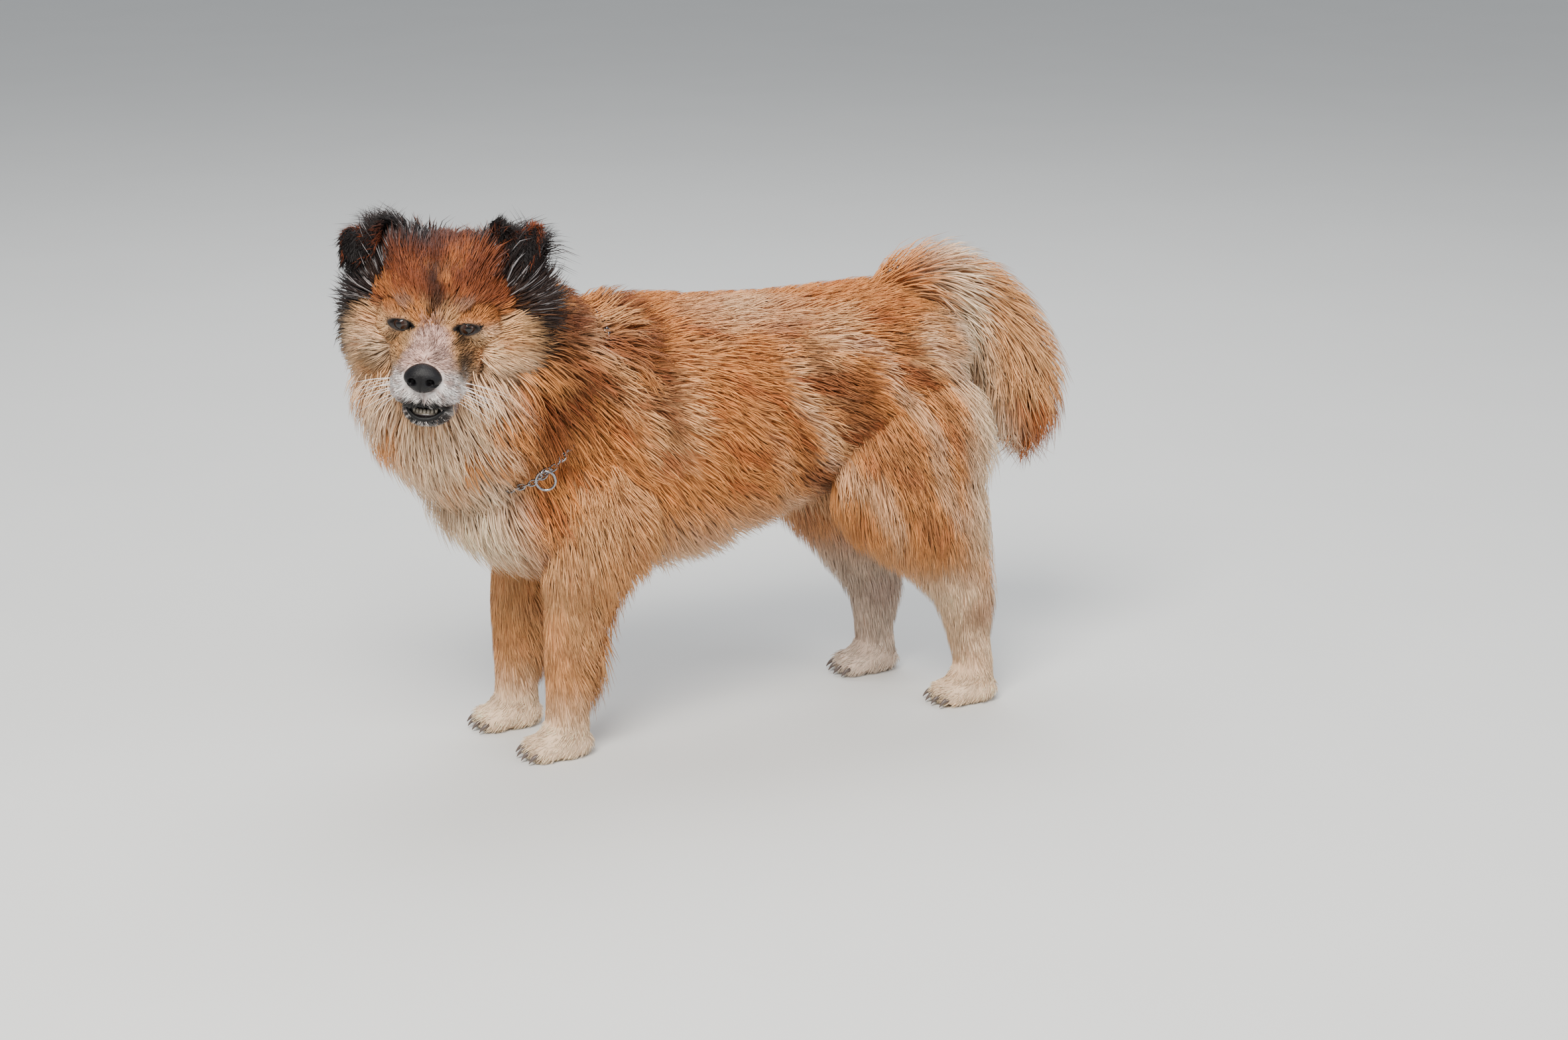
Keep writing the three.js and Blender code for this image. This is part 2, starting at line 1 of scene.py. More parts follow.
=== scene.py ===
"""A dressed, life-size chow chow: one skin under a coat of mesh tufts, eyes, nose, mouth, ears and a
chain collar, lit softly on a plain floor and seen from the photograph's side.

Sizes in the tables are millimetres in the part's own plan: the nose end towards -X, the dog's left
side towards -Y, +Z up. to_row turns them into metres in the frame's row."""

import math

import bpy
import numpy as np
from bpy.props import FloatProperty, FloatVectorProperty, IntProperty, PointerProperty
from mathutils import Matrix, Vector, kdtree


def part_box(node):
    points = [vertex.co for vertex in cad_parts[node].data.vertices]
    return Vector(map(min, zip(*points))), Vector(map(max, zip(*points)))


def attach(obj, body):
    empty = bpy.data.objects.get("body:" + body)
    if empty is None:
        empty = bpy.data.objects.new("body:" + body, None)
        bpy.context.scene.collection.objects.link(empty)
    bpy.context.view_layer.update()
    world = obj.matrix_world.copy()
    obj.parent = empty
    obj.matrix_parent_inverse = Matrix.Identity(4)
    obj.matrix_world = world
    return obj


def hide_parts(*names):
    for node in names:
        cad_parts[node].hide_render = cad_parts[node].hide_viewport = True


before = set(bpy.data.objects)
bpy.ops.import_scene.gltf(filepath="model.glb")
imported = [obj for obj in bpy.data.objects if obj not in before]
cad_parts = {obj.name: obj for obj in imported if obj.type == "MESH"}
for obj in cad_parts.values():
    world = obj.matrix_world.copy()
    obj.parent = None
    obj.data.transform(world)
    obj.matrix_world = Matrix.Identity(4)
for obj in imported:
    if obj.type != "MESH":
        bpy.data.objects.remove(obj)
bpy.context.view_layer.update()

bl_info = {
    "name": "Chow chow model",
    "version": (1, 0, 0),
    "blender": (4, 5, 0),
    "location": "View3D > Sidebar > Chow",
    "description": "Builds a standing chow chow with its coat and collar on a soft-lit floor",
    "category": "Object",
}

# The head's own frame: +X to the nose, +Y to the dog's left, +Z up, from the middle of the skull.
HEAD_TURN = math.radians(60)
HEAD_ROLL = math.radians(-3)
SKULL = np.array([-376.0, -73.0, 537.0])
NOSEWARD = np.array([-math.cos(HEAD_TURN), -math.sin(HEAD_TURN), 0])
HEAD_LEFT = np.cross([0, 0, 1], NOSEWARD)
ROLLED = Matrix.Rotation(HEAD_ROLL, 3, "X")
HEAD_AXES = np.array([NOSEWARD, HEAD_LEFT, [0, 0, 1]]).T @ np.array(ROLLED)

EYE = np.array([64.0, 36.0, 4.0])
EYE_RADIUS = 11.5
NOSE = np.array([125.0, 0.0, -42.0])

# Body lines under the coat, as rows of x, y, z, half depth and half width.
TORSO = [
    [-366, 0, 333, 29, 30],
    [-342, 0, 340, 78, 76],
    [-290, 0, 352, 122, 104],
    [-215, 0, 368, 146, 122],
    [-115, 0, 374, 146, 132],
    [-30, 0, 383, 131, 130],
    [60, 0, 395, 115, 120],
    [140, 0, 409, 103, 116],
    [205, 0, 424, 88, 106],
    [255, 0, 435, 51, 80],
    [280, 0, 433, 13, 40],
]
NECK = [
    [-170, 0, 425, 90, 96],
    [-238, -8, 420, 114, 110],
    [-304, -28, 440, 124, 108],
    [-356, -52, 484, 112, 98],
    [-392, -76, 522, 74, 76],
]
FORE_LEFT = [
    [-196, -72, 410, 62, 36],
    [-200, -82, 330, 68, 44],
    [-214, -80, 265, 54, 38],
    [-229, -74, 214, 40, 32],
    [-238, -69, 168, 32, 27],
    [-241, -66, 120, 28, 25],
    [-242, -64, 76, 26, 24],
    [-243, -63, 44, 27, 26],
    [-247, -62, 20, 33, 30],
]
FORE_RIGHT = [[x - min(i, 4) * 4.5, -y, z, d, w] for i, (x, y, z, d, w) in enumerate(FORE_LEFT)]
HIND_LEFT = [
    [192, -52, 430, 74, 46],
    [184, -66, 355, 96, 58],
    [188, -70, 304, 94, 56],
    [208, -74, 252, 73, 46],
    [232, -77, 205, 52, 35],
    [252, -79, 166, 38, 28],
    [264, -79, 135, 33, 26],
    [273, -78, 96, 27, 23],
    [280, -78, 58, 25, 24],
    [276, -78, 22, 31, 30],
]
HIND_RIGHT = [
    [180, 52, 430, 72, 46],
    [164, 66, 350, 90, 57],
    [158, 70, 290, 80, 52],
    [166, 73, 236, 61, 42],
    [183, 75, 186, 45, 33],
    [207, 76, 144, 37, 27],
    [219, 76, 108, 33, 25],
    [219, 75, 70, 26, 23],
    [221, 75, 44, 26, 24],
    [216, 75, 20, 32, 30],
]
TAIL = [
    [190, 2, 494, 24, 24],
    [236, 0, 510, 26, 27],
    [286, -3, 496, 31, 32],
    [330, -6, 456, 36, 36],
    [358, -8, 408, 39, 38],
    [370, -9, 360, 34, 33],
    [371, -9, 334, 18, 18],
]
LIMBS = {
    "torso": TORSO,
    "neck": NECK,
    "tail": TAIL,
    "fore_left": FORE_LEFT,
    "fore_right": FORE_RIGHT,
    "hind_left": HIND_LEFT,
    "hind_right": HIND_RIGHT,
}
LIMB_NAMES = list(LIMBS)
PAWS = [(-250, -62), (-268, 62), (272, -78), (212, 75)]
PAW_HALF = (36, 28, 20)
TOE_HALF = (17, 8.2, 12.5)
TOES = (-1.5, -0.5, 0.5, 1.5)

# The balls of the bare head, as centre and half sizes; the side balls are on both sides.
BRAIN_CASE = ((-2, 0, 8), (79, 74, 65))
BROW = ((34, 0, 22), (41, 56, 37))
CHIN = ((90, 0, -81), (31, 26, 18))
SIDE_BALLS = {
    "cheek": ((2, 52, -22), (56, 38, 48)),
    "temple": ((-12, 58, 18), (46, 32, 44)),
    "eye rim": (EYE + (-8, 3, 0), (20.5, 22, 18)),
    "upper lip": ((98, 17, -58), (25, 21, 17)),
    "inner brow": ((56, 20, 20), (17, 17, 10)),
}
MUZZLE = [
    [20, 0, -26, 50, 54],
    [56, 0, -34, 42, 45],
    [84, 0, -44, 35, 38],
    [104, 0, -49, 32, 37],
    [117, 0, -50, 27, 31],
    [125, 0, -50, 17, 20],
]
# Each ear: its side, the line down its middle, and the way its width runs at its root and its tip.
EARS = {
    "ear_left": {
        "side": 1,
        "line": [(-8, 46, 54), (-6, 60, 80), (2, 74, 97), (14, 82, 90), (20, 86, 66)],
        "across": [(0, 0.9, -0.3), (0, 1, 0.4)],
    },
    "ear_right": {
        "side": -1,
        "line": [(-8, 48, 54), (-6, 66, 76), (2, 84, 86), (14, 97, 79), (21, 105, 59)],
        "across": [(0, 0.8, -0.6), (0, 1, 0)],
    },
}
EAR_HALF = [26, 26, 26, 21.8, 8]

# The chain's loop: a point on its axis, the way the axis runs, and where and how far round its ring is.
COLLAR_MIDDLE = np.array([-254.0, -14.0, 434.0])
COLLAR_NORMAL = np.array([0.71, 0.28, -0.65])
RING_SPOT = np.array([-292.0, -110.0, 358.0])
RING_DEGREES = -7
LINK_HALF = (5.6, 3.1)
# Each pull ring: radius, wire radius, turn in degrees, how much higher it hangs, and how upright it is.
PULL_RINGS = ((11, 1.45, -24, 0, 1), (9.5, 1.1, 38, 10, 0.45))

# Lowest places of skin and of coat and claws over the floor.
SKIN_CLEAR = 0.3
COAT_CLEAR = 0.4

# Columns of a tuft's size.
LENGTH, WIDTH, LIFT, SAG, CURL = range(5)

# The painted finishes: roughness, grain and depth of the bump, specular, gloss coat, mottling, metal.
FINISHES = {
    "chow_skin": (0.7, 900, 0.0008, 0.4, 0.0, 0.2, 0.0),
    "chow_eye": (0.06, 300, 0.0, 0.4, 0.2, 0.1, 0.0),
    "chow_lid": (0.5, 700, 0.0006, 0.25, 0.0, 0.2, 0.0),
    "chow_nose": (0.34, 1500, 0.0007, 0.28, 0.0, 0.2, 0.0),
    "chow_tooth": (0.25, 600, 0.0003, 0.5, 0.3, 0.2, 0.0),
    "chow_whisker": (0.3, 400, 0.0001, 0.4, 0.0, 0.2, 0.0),
    "chow_chain": (0.22, 500, 0.0002, 0.4, 0.0, 0.2, 1.0),
    "chow_claw": (0.35, 400, 0.0003, 0.4, 0.0, 0.2, 0.0),
}

# The camera: metres away, degrees round and up, and the point in plan that it looks at.
CAMERA_FAR = 3.6
CAMERA_ROUND = -24
CAMERA_UP = 16
CAMERA_AIM = (-33.67, -215.68, 300)
CAMERA_LENS = 73.43

# Plan to row: the frame's own left eye tells where the plan's lies.
SHIFT = np.array(sum(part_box("eye_left"), Vector())) / 2 - (SKULL + HEAD_AXES @ EYE) / 1000


def to_row(points):
    """Plan millimetres to row metres."""
    return np.asarray(points, float) / 1000 + SHIFT


def to_plan(points):
    """Row metres to plan millimetres."""
    return (np.asarray(points, float) - SHIFT) * 1000


def from_head(points):
    """Head frame to plan."""
    return SKULL + np.asarray(points, float) @ HEAD_AXES.T


def to_head(points):
    """Plan to head frame."""
    return (np.asarray(points, float) - SKULL) @ HEAD_AXES


def unit(rows):
    """Each row at length one."""
    size = np.linalg.norm(rows, axis=-1, keepdims=True)
    return rows / np.maximum(size, 1e-9)


def spline(values, t):
    """Catmull-Rom through rows of values, at each t from 0 to 1."""
    values = np.asarray(values, float)
    span = len(values) - 1
    t = np.clip(np.asarray(t, float), 0, 1)
    i = np.minimum((t * span).astype(int), span - 1)
    f = (t * span - i)[:, None] if values.ndim > 1 else t * span - i
    a = values[i]
    b = values[i + 1]
    m0 = (b - values[np.maximum(i - 1, 0)]) / 2
    m1 = (values[np.minimum(i + 2, span)] - a) / 2
    near = (2 * f**3 - 3 * f**2 + 1) * a + (f**3 - 2 * f**2 + f) * m0
    return near + (3 * f**2 - 2 * f**3) * b + (f**3 - f**2) * m1


def waves(points, size, seed):
    """Smooth seeded noise from -1 to 1 over points, with bumps about size across."""
    draw = np.random.default_rng(seed)
    total = np.zeros(len(points))
    for _ in range(7):
        way = unit(draw.normal(size=3)) * 2 * math.pi / size * draw.uniform(0.6, 1.5)
        total += np.sin(points @ way + draw.uniform(0, 6.28))
    return np.clip(total / 3.2, -1, 1)


def blob(points, centre, half):
    """A soft mask: 1 at centre and 0 past half of each axis."""
    away = (((points - np.array(centre)) / np.array(half)) ** 2).sum(1)
    return np.clip(1 - away, 0, 1) ** 0.6


def ramp(value, low, high):
    """0 below low and 1 above high, smooth between."""
    t = np.clip((value - low) / (high - low), 0, 1)
    return t * t * (3 - 2 * t)


def shade(colour, other, share):
    """Rows of colour mixed towards other by share."""
    return colour + (np.asarray(other) - colour) * np.asarray(share)[:, None]


def linear(*display):
    """A display colour of 0 to 255 as linear light."""
    share = [c / 255 for c in display]
    return np.array([c / 12.92 if c < 11 / 255 else ((c + 0.055) / 1.055) ** 2.4 for c in share])


def all_over(colour, rows):
    """The same colour for each row."""
    return np.tile(colour, (len(rows), 1))


def rows_of(*parts):
    """Numbers or arrays as rows, with a column for each."""
    return np.stack(np.broadcast_arrays(*parts), -1)


def ring_faces(rings, sides, loop=False):
    """Quads between rings of verts; in a loop the last ring meets the first."""
    faces = []
    for r in range(rings if loop else rings - 1):
        step = ((r + 1) % rings - r) * sides
        for s in range(sides):
            a = r * sides + s
            b = r * sides + (s + 1) % sides
            faces.append((a, b, b + step, a + step))
    return faces


def end_faces(rings, sides):
    """The caps over the first and the last ring."""
    return [tuple(range(sides))[::-1], tuple((rings - 1) * sides + s for s in range(sides))]


def loft_mesh(stations, extra=0.0, side=(0, 1, 0), sides=36, rings=48):
    """A closed tube with oval sections along a smooth line."""
    table = spline(stations, np.linspace(0, 1, rings))
    line = table[:, :3]
    along = unit(np.gradient(line, axis=0))
    across = unit(np.array(side) - along * (along @ np.array(side))[:, None])
    over = np.cross(along, across)
    turn = np.linspace(0, 2 * math.pi, sides, endpoint=False)
    wide = across[:, None] * np.sin(turn)[None, :, None] * (table[:, 4] + extra)[:, None, None]
    deep = over[:, None] * np.cos(turn)[None, :, None] * (table[:, 3] + extra)[:, None, None]
    verts = (line[:, None] + wide + deep).reshape(-1, 3)
    return verts, ring_faces(rings, sides) + end_faces(rings, sides)


def ball_mesh(centre, half, columns=32, rows=20):
    """A closed oval ball."""
    verts = [[0, 0, 1]]
    for r in range(1, rows):
        for c in range(columns):
            up = math.pi * r / rows
            turn = 2 * math.pi * c / columns
            verts.append([math.sin(up) * math.cos(turn), math.sin(up) * math.sin(turn), math.cos(up)])
    verts.append([0, 0, -1])
    faces = [(0, 1 + c, 1 + (c + 1) % columns) for c in range(columns)]
    for r in range(rows - 2):
        for c in range(columns):
            a = 1 + r * columns + c
            b = 1 + r * columns + (c + 1) % columns
            faces.append((a, a + columns, b + columns, b))
    last = len(verts) - 1
    base = 1 + (rows - 2) * columns
    faces += [(last, base + (c + 1) % columns, base + c) for c in range(columns)]
    return np.array(centre, float) + np.array(verts) * np.array(half, float), faces


def merged(parts):
    """Several (verts, faces) as one."""
    verts = np.concatenate([v for v, _ in parts])
    faces = []
    start = 0
    for v, f in parts:
        faces += [tuple(i + start for i in face) for face in f]
        start += len(v)
    return verts, faces


def new_object(name, verts, faces):
    """A mesh object from row-frame verts, linked to the scene."""
    mesh = bpy.data.meshes.new(name)
    mesh.from_pydata([tuple(v) for v in np.asarray(verts)], [], faces)
    mesh.update()
    mesh.polygons.foreach_set("use_smooth", [True] * len(mesh.polygons))
    made = bpy.data.objects.new(name, mesh)
    bpy.context.scene.collection.objects.link(made)
    return made


def remeshed(verts, faces, voxel, smooth_steps):
    """One even skin over overlapping closed bodies, as plan verts and faces."""
    helper = new_object("helper", to_row(verts), faces)
    remesh = helper.modifiers.new("even", "REMESH")
    remesh.mode = "VOXEL"
    remesh.voxel_size = voxel / 1000
    soften = helper.modifiers.new("soft", "SMOOTH")
    soften.factor = 0.5
    soften.iterations = smooth_steps
    ready = helper.evaluated_get(bpy.context.evaluated_depsgraph_get())
    mesh = bpy.data.meshes.new_from_object(ready)
    points = np.empty(len(mesh.vertices) * 3)
    mesh.vertices.foreach_get("co", points)
    quads = [tuple(p.vertices) for p in mesh.polygons]
    bpy.data.objects.remove(helper)
    bpy.data.meshes.remove(mesh)
    return to_plan(points.reshape(-1, 3)), quads


def body_shape():
    """The body under its coat."""
    inset = -mm("skin_inset")
    parts = [loft_mesh(s, inset) for n, s in LIMBS.items() if n != "neck"]
    parts.append(loft_mesh(NECK, inset, side=(0.24, 0.97, 0)))
    for x, y in PAWS:
        parts.append(ball_mesh((x + 4, y, 15), PAW_HALF))
        for off in TOES:
            parts.append(ball_mesh((x - 30 + 4 * abs(off), y + off * 14, 12), TOE_HALF, 20, 12))
    verts, faces = remeshed(*merged(parts), mm("body_voxel"), 10)
    verts[:, 2] = np.maximum(verts[:, 2], SKIN_CLEAR)
    return verts, faces


def eye_almond(h, grow=0.0):
    """Below 1 inside the almond of either eye, seen from the front, its outer corner the higher."""
    out = np.abs(h[:, 1]) - EYE[1]
    up = h[:, 2] - EYE[2] - 0.13 * out + 0.8
    return (out / (12.5 + grow)) ** 2 + (up / (5.2 + 0.6 * grow)) ** 2


def head_shape():
    """The bare head: brain case, cheeks, brow, muzzle and jaw, with the mouth drawn in."""
    parts = [ball_mesh(*BRAIN_CASE), ball_mesh(*BROW), loft_mesh(MUZZLE), ball_mesh(*CHIN)]
    for s in (1, -1):
        for centre, half in SIDE_BALLS.values():
            parts.append(ball_mesh(np.multiply(centre, (1, s, 1)), half))
    verts, faces = merged(parts)
    verts, faces = remeshed(from_head(verts), faces, mm("head_voxel"), 6)
    h = to_head(verts)
    # The eye sockets.
    h[:, 0] -= 6 * np.sqrt(np.clip(1 - eye_almond(h), 0, 1)) * (h[:, 0] > 40)
    # The open front of the mouth, then the slit back along both sides.
    gape = ((h - (126, 0, -80)) / (26, 21, 8)) ** 2
    inside = np.clip(1 - gape.sum(1), 0, 1)
    h[:, 0] -= 20 * inside**0.7
    slit = np.exp(-(((h[:, 2] + 75 - 0.1 * np.abs(h[:, 1])) / 2.4) ** 2))
    slit *= ramp(h[:, 0], 60, 78) * ramp(np.abs(h[:, 1]), 14, 22) * (1 - inside)
    h[:, 1] -= np.sign(h[:, 1]) * 3.2 * slit
    return from_head(h), faces


def nearest_limb(points):
    """For each point: its limb's number, place along it, turn round it, the limb's way, and how far out."""
    best = np.full(len(points), 1e9)
    limb = np.zeros(len(points), int)
    place = np.zeros(len(points))
    turn = np.zeros(len(points))
    way = np.zeros((len(points), 3))
    steps = np.linspace(0, 1, 25)
    for n, name in enumerate(LIMB_NAMES):
        table = spline(LIMBS[name], steps)
        along = unit(np.gradient(table[:, :3], axis=0))
        across = unit(np.array((0, 1.0, 0)) - along * along[:, 1:2])
        over = np.cross(along, across)
        for i, t in enumerate(steps):
            d = points - table[i, :3]
            a = (d @ across[i]) / table[i, 4]
            o = (d @ over[i]) / table[i, 3]
            far = np.sqrt(a * a + o * o + ((d @ along[i]) / 40) ** 2)
            closer = far < best
            best[closer] = far[closer]
            limb[closer] = n
            place[closer] = t
            turn[closer] = np.arctan2(a, o)[closer]
            way[closer] = along[i]
    return limb, place, turn, way, best


def limb_masks(limb):
    """Which points are on the torso, the neck, the tail, the forelegs and the hind legs."""
    groups = (("torso",), ("neck",), ("tail",), ("fore_left", "fore_right"), ("hind_left", "hind_right"))
    return [np.isin(limb, [LIMB_NAMES.index(name) for name in group]) for group in groups]


def body_unwrap(limb, place, turn):
    """The body's unwrap: a strip of the map for each limb, turn across and place up."""
    across = (turn / (2 * math.pi) + 0.5) * 0.115 + limb * 0.125 + 0.005
    return np.stack([across, 0.02 + 0.9 * place], -1)


def head_unwrap(h):
    """The head's unwrap: turn round the nose line, and how far back from the nose."""
    turn = np.arctan2(h[:, 1], h[:, 2] + 20)
    back = np.arctan2(np.hypot(h[:, 1], h[:, 2] + 20), h[:, 0] + 30) / math.pi
    return np.stack([0.88 + (turn / (2 * math.pi) + 0.5) * 0.115, 0.02 + 0.9 * back], -1)


def body_colour(p, limb, place):
    """The markings on the body, at the skin and at the tufts' tips, with a painted highlight on the
    shoulder and back and painted shade in the neck's fold and the flank's swirls.
    """
    x, _, z = p.T
    torso, neck, tail, fore, hind = limb_masks(limb)
    front = torso | neck
    low = waves(p, 150, 11)
    mid = waves(p * (1, 1, 1.6), 62, 12)
    fine = waves(p, 24, 13)
    tip = all_over(tint("gold"), p)
    tip = shade(tip, tint("tan"), ramp(low + 0.4 * mid, -0.1, 0.9) * 0.75)
    tip = shade(tip, tint("rust"), ramp(mid + 0.35 * fine, 0.15, 0.95) * 0.75)
    spine = ramp(z, 480, 530) * torso
    tip = shade(tip, tint("rust"), spine * 0.35 * ramp(fine, -0.6, 0.7))
    # Painted sun highlight: cream over the top of the shoulder and along the back, where the light falls on
    # the coat.
    lit = blob(p, (-215, -125, 540), (62, 70, 60)) + 0.8 * blob(p, (-20, -60, 530), (120, 90, 50))
    tip = shade(tip, tint("cream"), 0.45 * np.clip(lit, 0, 1))
    side = front * ramp(z, 350, 430)
    band = np.exp(-(((x + 152 + 0.12 * (z - 470) + 6 * mid) / 15) ** 2)) * side
    tip = shade(tip, tint("deep_rust"), 0.85 * band)
    # Swirls over the flank and thigh stand in for the coat's waves: partly the coat's own wavy colour, with
    # the deep rust bands partly painted shade and the cream bands partly painted highlight.
    swirl = np.sin((x * 0.9 + z * 0.55 + 26 * low) / 15)
    flank = (torso | hind) * ramp(x, -60, 60) * (1 - ramp(z, 455, 500)) * ramp(z, 200, 280)
    tip = shade(tip, tint("deep_rust"), (0.7 - 0.25 * hind) * flank * ramp(swirl, 0.0, 0.9))
    tip = shade(tip, tint("cream"), 0.35 * flank * ramp(-swirl, 0.3, 0.95))
    under = 1 - ramp(z, 250, 330)
    tip = shade(tip, tint("cream"), 0.55 * under * torso)
    chest = (1 - ramp(x, -345, -285)) * (1 - ramp(z, 330, 400)) * front
    tip = shade(tip, tint("cream"), 0.8 * chest)
    # Painted shade: a deep rust line down the fold in the coat of the neck and chest.
    fold = np.exp(-(((x + 292 - 0.42 * (z - 430) + 8 * mid) / 24) ** 2)) * front * ramp(z, 350, 400)
    tip = shade(tip, tint("deep_rust"), 0.7 * fold)
    h = to_head(p)
    throat = front * (1 - ramp(np.abs(h[:, 1] + 16), 56, 104)) * ramp(h[:, 0], -70, 0)
    tip = shade(tip, tint("cream"), 0.66 * throat * ramp(mid, -1.2, 0.3))
    ruff = neck * ramp(np.abs(h[:, 1]), 60, 100) * ramp(z, 400, 450)
    tip = shade(tip, tint("deep_rust"), 0.6 * ruff * ramp(mid, -0.8, 0.4))
    behind = front * blob(h, (-20, 96, -36), (46, 32, 74))
    tip = shade(tip, tint("brown"), 0.6 * behind)
    rump = ramp(x, 215, 262) * (1 - ramp(z, 470, 500)) * (torso | hind)
    tip = shade(tip, tint("cream"), 0.8 * rump * ramp(z, 190, 260))
    top = ramp(place, 0.1, 0.5) * (1 - ramp(place, 0.66, 0.86))
    tip = shade(tip, tint("tan"), tail * top * 0.7)
    tip = shade(tip, tint("rust"), tail * ramp(place + 0.08 * mid, 0.58, 0.86) * 0.75)
    inner = 1 - ramp(x - 326 + 0.5 * (z - 440), -34, 4)
    tip = shade(tip, tint("cream"), tail * 0.95 * inner * ramp(place, 0.05, 0.3))
    tip = shade(tip, tint("tan"), fore * 0.5 + hind * 0.15)
    tip = shade(tip, tint("cream"), fore * (1 - ramp(z, 30, 120)) * 0.8)
    tip = shade(tip, tint("cream"), (fore | hind) * (1 - ramp(z, 18, 60)) * 0.75)
    tip = shade(tip, tint("cream"), hind * (1 - ramp(z, 150, 240)) * 0.7)
    hock = blob(p, (270, -78, 140), (30, 30, 34)) + blob(p, (216, 76, 128), (30, 30, 34))
    tip = shade(tip, tint("rust"), np.clip(hock, 0, 1) * 0.6)
    far_hind = limb == LIMB_NAMES.index("hind_right")
    tip = shade(tip, tint("silver"), far_hind * 0.45 * (1 - ramp(z, 120, 300)))
    tip *= (1 + 0.12 * fine + 0.08 * mid)[:, None]
    skin = shade(tip * 0.86, tint("rust"), np.full(len(p), 0.2))
    return skin, tip


